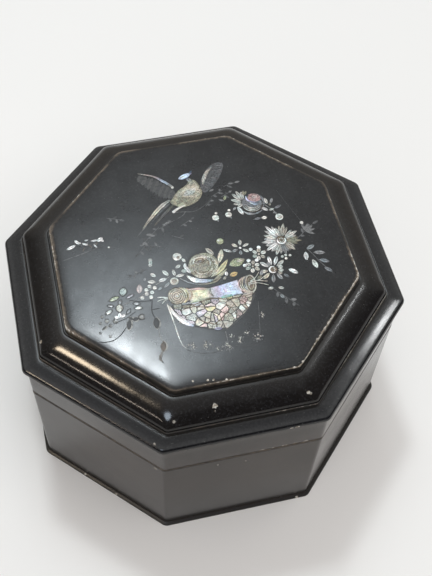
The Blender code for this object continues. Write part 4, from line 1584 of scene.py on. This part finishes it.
def chip_group():
    """One small flake of missing lacquer at a given place, with a ragged outline."""
    group, sheet, given, out = shader_group(
        "chip", [("Place", VECTOR, None), ("At", VECTOR, None), ("Size", FLOAT, 0.001)], [("Bare", FLOAT)]
    )
    inputs = {"Vector": given["Place"], "Scale": 900.0, "Detail": 3.0}
    shaken = sheet.node("ShaderNodeTexNoise", None, inputs).outputs["Color"]
    shake = sheet.times(given["Size"], FLAKE_RAGGED)
    shaken = sheet.scaled(sheet.vector_maths("SUBTRACT", shaken, (0.5, 0.5, 0.5)), shake)
    here = sheet.vector_maths("ADD", given["Place"], shaken)
    inputs = {0: here, 1: given["At"]}
    reach = sheet.node("ShaderNodeVectorMath", {"operation": "DISTANCE"}, inputs).outputs["Value"]
    share = sheet.maths("DIVIDE", reach, given["Size"])
    sheet.feed(out["Bare"], sheet.ramp(share, 1.15, 0.8))
    return group


# engraved lines: pitch in metres, and the dark share of it
VEIN_LINES = (0.0011, 0.16)
BARB_LINES = (0.00062, 0.2)
STROKE_LINES = (0.00075, 0.18)
RIB_EDGES = (0.00022, 0.00008)
SCALE_CELLS = 1150.0         # scales per metre


def engraving_group():
    """Cut lines on a piece of shell, in the way its style number asks for, and a dark rim round it that is
    partly a painted shadow.
    """
    group, sheet, given, out = shader_group(
        "engraving", [("Lie", VECTOR, None), ("Style", FLOAT, 0.0), ("Rim Outline And Shadow", FLOAT, 0.0)], [("Cut", FLOAT)]
    )
    along, across, chance = sheet.split(given["Lie"])
    shift = sheet.times(chance, 7.0)
    offside = sheet.maths("ABSOLUTE", across)

    def lines(value, pitch, fineness):
        """Dark lines at an even pitch."""
        turned = sheet.plus(sheet.maths("DIVIDE", value, pitch), shift)
        wave = sheet.maths("PINGPONG", turned, 0.5)
        return sheet.ramp(wave, fineness, fineness * 0.35)

    def chosen(style):
        """One where the piece has this style, else nothing."""
        return sheet.maths("COMPARE", given["Style"], style, 0.4)

    rib = sheet.ramp(offside, *RIB_EDGES)
    slanted = sheet.minus(along, sheet.times(offside, 1.4))
    veins = sheet.maths("MAXIMUM", sheet.times(rib, 0.8), sheet.times(lines(slanted, *VEIN_LINES), 0.5))
    barbs = sheet.maths("MAXIMUM", rib, sheet.times(lines(slanted, *BARB_LINES), 0.7))
    squeezed = sheet.vector_maths("MULTIPLY", given["Lie"], (1.0, 1.35, 0.01))
    inputs = {"Vector": squeezed, "Scale": SCALE_CELLS}
    scales = sheet.node("ShaderNodeTexVoronoi", {"feature": "DISTANCE_TO_EDGE"}, inputs).outputs[0]
    scales = sheet.ramp(scales, 0.12, 0.03)
    strokes = lines(sheet.plus(across, sheet.times(along, 0.25)), *STROKE_LINES)
    cut = sheet.times(veins, chosen(VEINS))
    cut = sheet.plus(cut, sheet.times(barbs, chosen(BARBS)))
    cut = sheet.plus(cut, sheet.times(scales, chosen(SCALES)))
    cut = sheet.plus(cut, sheet.times(sheet.times(strokes, 0.7), chosen(STROKES)))
    # The dark rim round each piece is an outline, partly a painted shadow at its edge.
    cut = sheet.maths("MAXIMUM", cut, sheet.ramp(given["Rim Outline And Shadow"], 0.4, 1.0))
    sheet.feed(out["Cut"], cut)
    return group


def new_finish(name):
    """An empty finish: its material, node sheet and shader, and the place of each point on the object."""
    material = bpy.data.materials.new(name)
    material.use_nodes = True
    sheet = NodeSheet(material.node_tree)
    shader = material.node_tree.nodes["Principled BSDF"]
    place = sheet.node("ShaderNodeTexCoord").outputs["Object"]
    return material, sheet, shader, place


WALL_COLOUR = (0.027, 0.0220, 0.0188, 1.0)
MOULDING_COLOUR = (0.0056, 0.0046, 0.0040, 1.0)
LID_COLOUR = (0.0043, 0.0045, 0.0051, 1.0)
SPECKLED = (0.026, 0.026, 0.028, 1.0)
SPECK = (0.50, 0.49, 0.46, 1.0)
GROUND = (0.25, 0.205, 0.155, 1.0)
GROUND_PALE = (0.62, 0.585, 0.52, 1.0)
# The brown tone of rubbed edges is partly a painted highlight on the rounded arris.
BROWNED_AND_HIGHLIGHT = (0.145, 0.115, 0.086, 1.0)
# The next two colours: dirt in the hollows, which at the foot is painted shade, and a light grey film, which
# low on the wall and along the moulding's lower arris is painted light.
GRIME_AND_SHADE = (0.016, 0.014, 0.012, 1.0)
DUST_AND_LIGHT = (0.064, 0.0635, 0.063, 1.0)

RIPPLE = 0.00010             # slow waves in the lacquer, in metres
GRAIN = 0.0000105            # fine roughness of the lacquer
FLAKE_DEPTH = 0.00009        # how deep the bare ground lies under the lacquer

# heights between which a finish changes, in millimetres
LID_WEAR_HEIGHTS = (94.0, 97.0)
FLANGE_HEIGHTS = (FLANGE_UNDERSIDE - 0.3, FLANGE_UNDERSIDE + 0.1)
MOULDING_FOOT_HEIGHTS = (FLANGE_TOP - 0.3, FLANGE_TOP + 0.3)
MOULDING_END_HEIGHTS = (PANEL_EDGE - 0.6, PANEL_EDGE - 1.2)
PANEL_RIM_HEIGHTS = (PANEL_EDGE - 0.9, PANEL_EDGE - 0.1)

# wear added on top of the lid: from where, to where, and how much; at the back and the front right it also
# paints a highlight on the arris
BACK_WEAR_AND_HIGHLIGHT = (-75.0, -15.0, 1.3)
RIGHT_WEAR_AND_HIGHLIGHT = (86.0, 106.0, 0.40)


def between(sheet, value, limits, bottom=0.0, top=1.0):
    """A smooth change between two places given in millimetres."""
    return sheet.ramp(value, limits[0] * MM, limits[1] * MM, bottom, top)


def rubbed_and_lit_edges(sheet, place, worn_amount):
    """How far each point belongs to an edge, and what is worn off there; the extra wear at the back and front
    right is partly a painted highlight.
    """
    x, y, z = sheet.split(place)
    on_lid = between(sheet, z, LID_WEAR_HEIGHTS)
    more = sheet.times(on_lid, between(sheet, y, BACK_WEAR_AND_HIGHLIGHT[:2], 0.0, BACK_WEAR_AND_HIGHLIGHT[2]))
    edge = sheet.times(sheet.painted("worn")["Fac"], sheet.plus(more, 1.0))
    edge = sheet.maths("MINIMUM", edge, 1.0)
    more = sheet.times(on_lid, between(sheet, sheet.minus(x, y), RIGHT_WEAR_AND_HIGHLIGHT[:2], 0.0, RIGHT_WEAR_AND_HIGHLIGHT[2]))
    amount = sheet.plus(worn_amount, more)
    inputs = {"Place": place, "Edge": edge, "Amount": amount, "Run Scale": 40.0}
    return edge, sheet.group(EDGE_WEAR_AND_HIGHLIGHT, inputs)


def with_chips(sheet, place, bare, chips):
    """Adds the missing flakes, and on the lid a few painted glints, to what is already bare."""
    for x, y, z, size, strength in chips:
        inputs = {"Place": place, "At": (x * MM, y * MM, z * MM), "Size": size * MM}
        flake = sheet.group(CHIP, inputs)["Bare"]
        bare = sheet.maths("MAXIMUM", bare, sheet.times(flake, strength))
    return bare


def lacquer_tone(sheet, place, height):
    """Clean lacquer: brown on the walls, blackest on the moulding, clouded and speckled everywhere."""
    tone = sheet.blended(between(sheet, height, FLANGE_HEIGHTS), WALL_COLOUR, LID_COLOUR)
    moulded = between(sheet, height, MOULDING_FOOT_HEIGHTS)
    moulded = sheet.times(moulded, between(sheet, height, MOULDING_END_HEIGHTS))
    tone = sheet.blended(moulded, tone, MOULDING_COLOUR)
    tone = sheet.scaled(tone, sheet.ramp(sheet.noise(place, 24.0, 3.0), 0.35, 0.7, 1.0, 1.6))
    speckle = sheet.ramp(sheet.noise(place, 800.0, 3.0, 0.7), 0.45, 0.68, 0.0, 0.38)
    return sheet.blended(speckle, tone, SPECKLED)


def lacquer_finish(name, chips, worn_amount, roughness, panel_roughness, haze, gloss):
    """Old lacquer: hazy gloss, rubbed edges with the ground and painted highlights, chips, glints, stains,
    dirt, painted shade and painted light.
    """
    material, sheet, shader, place = new_finish(name)
    height = sheet.split(place)[2]
    edge, wear = rubbed_and_lit_edges(sheet, place, worn_amount)
    bare = with_chips(sheet, place, wear["Bare"], chips)
    streaks = sheet.noise(sheet.vector_maths("MULTIPLY", place, (1.0, 1.0, 0.35)), 900.0, 3.0, 0.65)
    dirty_and_shaded = sheet.times(sheet.painted("grime")["Fac"], sheet.ramp(streaks, 0.2, 0.6, 0.55, 1.0))
    dusty_and_lit = sheet.times(sheet.painted("dust")["Fac"], sheet.ramp(streaks, 0.3, 0.72, 0.6, 1.0))
    specks = sheet.ramp(sheet.noise(place, 1500.0, 1.0), 0.74, 0.80)

    tone = lacquer_tone(sheet, place, height)
    # Dirt in the hollows, painted shade at the foot; then dusting, painted light low on the wall and along
    # the moulding's lower arris.
    tone = sheet.blended(dirty_and_shaded, tone, GRIME_AND_SHADE)
    tone = sheet.blended(sheet.times(dusty_and_lit, 0.8), tone, DUST_AND_LIGHT)
    tone = sheet.blended(sheet.times(specks, 0.2), tone, SPECK)
    # Brown along the rubbed edges, strongest at the back: wear, and partly a painted highlight on the arris.
    tone = sheet.blended(sheet.times(wear["Browned And Highlight"], 0.85), tone, BROWNED_AND_HIGHLIGHT)
    ground = sheet.blended(sheet.ramp(wear["Tone"], 0.42, 0.58), GROUND, GROUND_PALE)
    sheet.feed(shader.inputs["Base Color"], sheet.blended(bare, tone, ground))

    dull = sheet.plus(sheet.times(dirty_and_shaded, 0.22), sheet.times(dusty_and_lit, 0.08))
    dull = sheet.plus(dull, sheet.ramp(edge, 0.03, 0.30, 0.0, 0.4))
    dull = sheet.plus(dull, sheet.times(bare, 0.4), clamp=True)
    rubbed = sheet.ramp(sheet.noise(place, 50.0, 4.0, 0.6), 0.35, 0.7, 0.87, 1.16)
    rubbed = sheet.times(rubbed, between(sheet, height, PANEL_RIM_HEIGHTS, roughness, panel_roughness))
    sheet.feed(shader.inputs["Roughness"], sheet.plus(rubbed, dull, clamp=True))
    coated = between(sheet, height, PANEL_RIM_HEIGHTS, 0.3 * haze, haze)
    clear = sheet.times(sheet.minus(1.0, dull, clamp=True), coated)
    clouded = sheet.ramp(sheet.noise(place, 110.0, 4.0, 0.65), 0.36, 0.66, 0.74, 1.14)
    sheet.feed(shader.inputs["Coat Weight"], sheet.times(clear, clouded))
    shader.inputs["Coat Roughness"].default_value = 0.14
    shader.inputs["Specular IOR Level"].default_value = gloss

    ripple = sheet.times(sheet.noise(place, 45.0, 2.0), RIPPLE)
    grain = sheet.times(sheet.noise(place, 1100.0, 3.0, 0.7), GRAIN)
    surface = sheet.plus(sheet.plus(ripple, grain), sheet.times(bare, -FLAKE_DEPTH))
    sheet.feed(shader.inputs["Normal"], sheet.relief(surface))
    return material


PEARL_STAIN = (0.03, 0.028, 0.025, 1.0)
PEARL_CUT_AND_SHADOW = (0.012, 0.011, 0.010, 1.0)
LACQUER_UNDER_PAINT = (0.010, 0.010, 0.011, 1.0)
PEARL_WARM, PEARL_COOL = (1.07, 0.99, 0.98), (0.94, 1.02, 1.03)
CUT_DEPTH = 0.00004          # engraved lines, in metres
SILK_HEIGHT = 0.00002
PAINT_HEIGHT = 0.00003
CLOTH = (0.825, 0.806, 0.782, 1.0)


def pearl_finish():
    """Mother-of-pearl: clouded tints, silky streaks, engraved lines, a dark rim that is partly painted
    shadow, and a thin clear coat.
    """
    material, sheet, shader, place = new_finish("mother_of_pearl")
    tint = sheet.painted("tint")["Color"]
    lie = sheet.painted("lie")["Vector"]
    inputs = {"Lie": lie, "Style": sheet.painted("style")["Fac"], "Rim Outline And Shadow": sheet.painted("rim")["Fac"]}
    cut = sheet.group(ENGRAVING, inputs)["Cut"]
    silk = sheet.noise(sheet.vector_maths("MULTIPLY", lie, (0.35, 1.0, 30.0)), 900.0, 3.0, 0.6)
    flecks = sheet.noise(place, 1300.0, 2.0, 0.6)
    shade = sheet.plus(sheet.ramp(silk, 0.3, 0.7, 0.62, 1.15), sheet.ramp(flecks, 0.35, 0.7, -0.18, 0.18))
    shade = sheet.times(shade, sheet.ramp(sheet.noise(place, 250.0, 2.0), 0.36, 0.62, 0.76, 1.16))
    body = sheet.vector_maths("MULTIPLY", tint, sheet.combined(shade, shade, shade))
    play = sheet.noise(place, 420.0, 1.0)
    warm = sheet.vector_maths("MULTIPLY", body, PEARL_WARM)
    cool = sheet.vector_maths("MULTIPLY", body, PEARL_COOL)
    body = sheet.blended(sheet.ramp(play, 0.38, 0.62), warm, cool)
    patches = sheet.ramp(sheet.noise(place, 480.0, 3.0, 0.7), 0.66, 0.74)
    body = sheet.blended(sheet.times(patches, 0.5), body, PEARL_STAIN)
    # Darkened along engraved lines, and along each piece's rim, which is partly painted shadow.
    body = sheet.blended(sheet.times(cut, 0.86), body, PEARL_CUT_AND_SHADOW)
    sheet.feed(shader.inputs["Base Color"], body)
    sheet.feed(shader.inputs["Roughness"], sheet.ramp(flecks, 0.3, 0.7, 0.22, 0.42))
    shader.inputs["Coat Weight"].default_value = 0.5
    shader.inputs["Coat Roughness"].default_value = 0.12
    height = sheet.plus(sheet.times(cut, -CUT_DEPTH), sheet.times(silk, SILK_HEIGHT))
    sheet.feed(shader.inputs["Normal"], sheet.relief(height))
    return material


def paint_finish():
    """Old paint and gilding, rubbed until the lacquer shows through."""
    material, sheet, shader, place = new_finish("faded_paint")
    tint = sheet.painted("tint")["Color"]
    gone = sheet.ramp(sheet.noise(place, 750.0, 3.0, 0.7), 0.50, 0.62)
    body = sheet.blended(sheet.times(gone, 0.8), tint, LACQUER_UNDER_PAINT)
    sheet.feed(shader.inputs["Base Color"], body)
    shader.inputs["Roughness"].default_value = 0.45
    grain = sheet.times(sheet.noise(place, 1100.0, 2.0), PAINT_HEIGHT)
    sheet.feed(shader.inputs["Normal"], sheet.relief(grain))
    return material


def cloth_finish():
    """Plain pale cloth for the floor."""
    material, _, shader, _ = new_finish("pale_cloth")
    shader.inputs["Base Color"].default_value = CLOTH
    shader.inputs["Roughness"].default_value = 0.9
    return material


# ---- floor, light and camera

def lay_floor():
    """A wide flat floor under the box."""
    mesh = bpy.data.meshes.new("floor")
    reach = 3.0
    corners = [(-reach, -reach, 0.0), (reach, -reach, 0.0), (reach, reach, 0.0), (-reach, reach, 0.0)]
    mesh.from_pydata(corners, [], [(0, 1, 2, 3)])
    floor = bpy.data.objects.new("floor", mesh)
    mesh.materials.append(cloth_finish())
    bpy.context.scene.collection.objects.link(floor)


def aim(thing, place, target):
    """Stands a light at a place and points it at a target."""
    thing.location = place
    thing.rotation_euler = (Vector(target) - Vector(place)).to_track_quat("-Z", "Y").to_euler()


def soft_light(name, azimuth, elevation, distance, size, power, colour, mirrored=True, lit=True, lean=0.0):
    """An area light seen from the lid in a given direction, for its reflection, its light or both."""
    light = bpy.data.lights.new(name, "AREA")
    light.shape = "RECTANGLE" if lit else "ELLIPSE"
    light.size, light.size_y = size
    light.energy = power
    light.color = colour
    lamp = bpy.data.objects.new(name, light)
    lamp.visible_glossy = mirrored
    lamp.visible_diffuse = lit
    bpy.context.scene.collection.objects.link(lamp)
    azimuth, elevation = math.radians(azimuth), math.radians(elevation)
    centre = Vector((0.0, 0.0, PANEL_EDGE * MM))
    flat = math.cos(elevation)
    reach = Vector((math.cos(azimuth) * flat, math.sin(azimuth) * flat, math.sin(elevation)))
    aim(lamp, centre + reach * distance, centre)
    lamp.rotation_euler.rotate_axis("Z", math.radians(lean))


ROOM_LOW, ROOM_HIGH = (0.50, 0.47, 0.43, 1.0), (0.70, 0.695, 0.685, 1.0)
ROOM_LEFT, ROOM_FRONT = (0.18, 0.17, 0.16, 1.0), (0.10, 0.10, 0.115, 1.0)
ROOM_CEILING = (0.46, 0.455, 0.465, 1.0)


def room_light():
    """Soft room: lightest low down behind the box, dim overhead, to the left and in front."""
    world = bpy.data.worlds.new("room")
    bpy.context.scene.world = world
    world.use_nodes = True
    sheet = NodeSheet(world.node_tree)
    background = world.node_tree.nodes["Background"]
    looking = sheet.node("ShaderNodeTexCoord").outputs["Generated"]
    x, y, z = sheet.split(looking)
    behind = sheet.ramp(y, -0.25, 0.35)
    high = sheet.ramp(z, 0.10, 0.80)
    left = sheet.ramp(x, -0.30, -0.85)
    overhead = sheet.ramp(z, 0.82, 0.97)
    back = sheet.blended(high, ROOM_LOW, ROOM_HIGH)
    back = sheet.blended(left, back, ROOM_LEFT)
    tone = sheet.blended(behind, ROOM_FRONT, back)
    tone = sheet.blended(overhead, tone, ROOM_CEILING)
    sheet.feed(background.inputs["Color"], tone)
    background.inputs["Strength"].default_value = 1.0


CAMERA_PLACE = (-0.0685, -0.2699, 0.5101)
CAMERA_HEADING = 15.91
CAMERA_DOWN = 56.97
CAMERA_ROLL = 3.34
CAMERA_LENS = 58.2


def set_camera():
    """Stands the camera in front of the box, a little to its left, looking down on the lid."""
    camera = bpy.data.objects.new("camera", bpy.data.cameras.new("camera"))
    bpy.context.scene.collection.objects.link(camera)
    camera.data.lens = CAMERA_LENS
    camera.data.clip_start = 0.01
    camera.location = CAMERA_PLACE
    camera.rotation_mode = "XYZ"
    heading, down = math.radians(CAMERA_HEADING), math.radians(CAMERA_DOWN)
    forward = Vector(
        (math.sin(heading) * math.cos(down), math.cos(heading) * math.cos(down), -math.sin(down))
    )
    level = forward.to_track_quat("-Z", "Y")
    roll = Quaternion((0.0, 0.0, 1.0), math.radians(CAMERA_ROLL))
    camera.rotation_euler = (level @ roll).to_euler()
    bpy.context.scene.camera = camera


# ---- assembly

# where a flake is missing, or on the lid's front rim a painted glint: x, y, z, size, how bare
BODY_CHIPS = [
    (-44.3, -94.2, 72.6, 1.2, 0.5), (-80.3, -60.3, 1.8, 1.0, 0.8), (-65.4, -76.0, 1.0, 0.9, 0.8),
    (35.0, -99.9, 1.0, 0.9, 0.8), (-13.1, -98.0, 69.7, 0.6, 0.35), (1.6, -98.0, 67.4, 0.6, 0.35),
    (-71.0, -67.0, 50.0, 3.0, 0.04), (-66.0, -73.0, 34.0, 3.6, 0.04),
]
LID_CHIPS_AND_GLINTS = [
    (-12.8, -84.3, 110.0, 1.3, 0.75), (-13.2, -86.3, 108.6, 0.6, 0.2), (-33.2, -87.4, 108.0, 0.8, 0.5),
    (-88.7, -31.0, 107.2, 0.9, 1.0), (-43.9, -93.4, 101.0, 0.8, 0.6), (25.3, -98.2, 97.9, 1.2, 1.0),
    # The four small flakes on the panel's front rim, x from -21 to -5, are painted glints.
    (22.4, -98.2, 98.0, 0.9, 0.9), (33.0, -86.5, 108.7, 0.9, 0.75), (-21.0, -72.6, 116.5, 0.5, 1.0),
    (-13.9, -73.6, 116.4, 0.6, 1.0), (-11.2, -74.0, 116.3, 0.6, 0.8), (-5.0, -74.9, 116.1, 0.6, 1.0),
    (9.5, -98.0, 77.0, 1.3, 0.4), (15.0, -98.0, 76.8, 1.2, 0.5), (21.0, -98.0, 76.9, 1.6, 0.55),
    (26.5, -98.0, 76.8, 1.3, 0.5), (32.0, -98.0, 77.0, 1.4, 0.45), (34.1, -87.0, 108.3, 0.6, 0.5),
    (32.0, -75.4, 115.9, 1.1, 0.9), (28.4, -75.6, 115.9, 0.8, 0.8), (33.4, -73.6, 116.0, 0.9, 0.9),
]

bpy.context.scene.view_settings.view_transform = "Standard"
SWEEP = octagon_sweep_tree()
LAY = lay_tree()
PETALS = petal_tree()
RIBBONS = ribbon_tree()
PLATES = plate_tree()
PETAL_BLANK = petal_blank()
RIBBON_SECTION = ribbon_section()
EDGE_WEAR_AND_HIGHLIGHT = edge_wear_and_highlight_group()
CHIP = chip_group()
ENGRAVING = engraving_group()

body_finish = lacquer_finish(
    "body_lacquer", BODY_CHIPS, worn_amount=0.42, roughness=0.17, panel_roughness=0.17, haze=0.0, gloss=0.31
)
lid_finish = lacquer_finish(
    "lid_lacquer", LID_CHIPS_AND_GLINTS, worn_amount=0.24, roughness=0.13, panel_roughness=0.30, haze=0.35, gloss=0.33
)
body = swept_piece("body_shell", body_profile(), body_finish, 40)
lid = swept_piece("lid_shell", lid_profile(), lid_finish, 48)
for shell, node in ((body, "box_body"), (lid, "box_lid")):
    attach(shell, "root")
    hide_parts(node)
lay_picture(lid, pearl_finish(), paint_finish())
for blank in (PETAL_BLANK, RIBBON_SECTION):
    bpy.data.objects.remove(blank)

lay_floor()
room_light()
soft_light("window", 97.5, 68.3, 1.6, (0.165, 0.18), 6.4, (0.90, 0.97, 1.0))
soft_light("window_glow", 92.0, 64.0, 1.62, (0.50, 0.50), 4.9, (0.80, 0.92, 1.0))
soft_light("warm_lamp", 184.5, 54.5, 1.23, (0.17, 0.24), 4.0, (1.0, 0.82, 0.60), lit=False, lean=-22.0)
soft_light("warm_strip", 204.5, 31.0, 1.27, (0.42, 0.03), 0.9, (1.0, 0.86, 0.72), lit=False)
soft_light("side_lamp", 16.0, 52.0, 1.24, (0.06, 0.08), 0.9, (0.97, 0.99, 1.0), lit=False)
soft_light("front_lamp", -127.0, 58.0, 1.2, (0.28, 0.30), 2.4, (0.74, 0.86, 1.0), lit=False)
soft_light("ceiling_fill", -60.0, 64.0, 2.4, (2.4, 2.4), 30.5, (1.0, 0.985, 0.97), mirrored=False)
soft_light("front_fill", -121.0, 38.0, 2.4, (2.4, 2.4), 13.4, (1.0, 0.985, 0.97), mirrored=False)
set_camera()
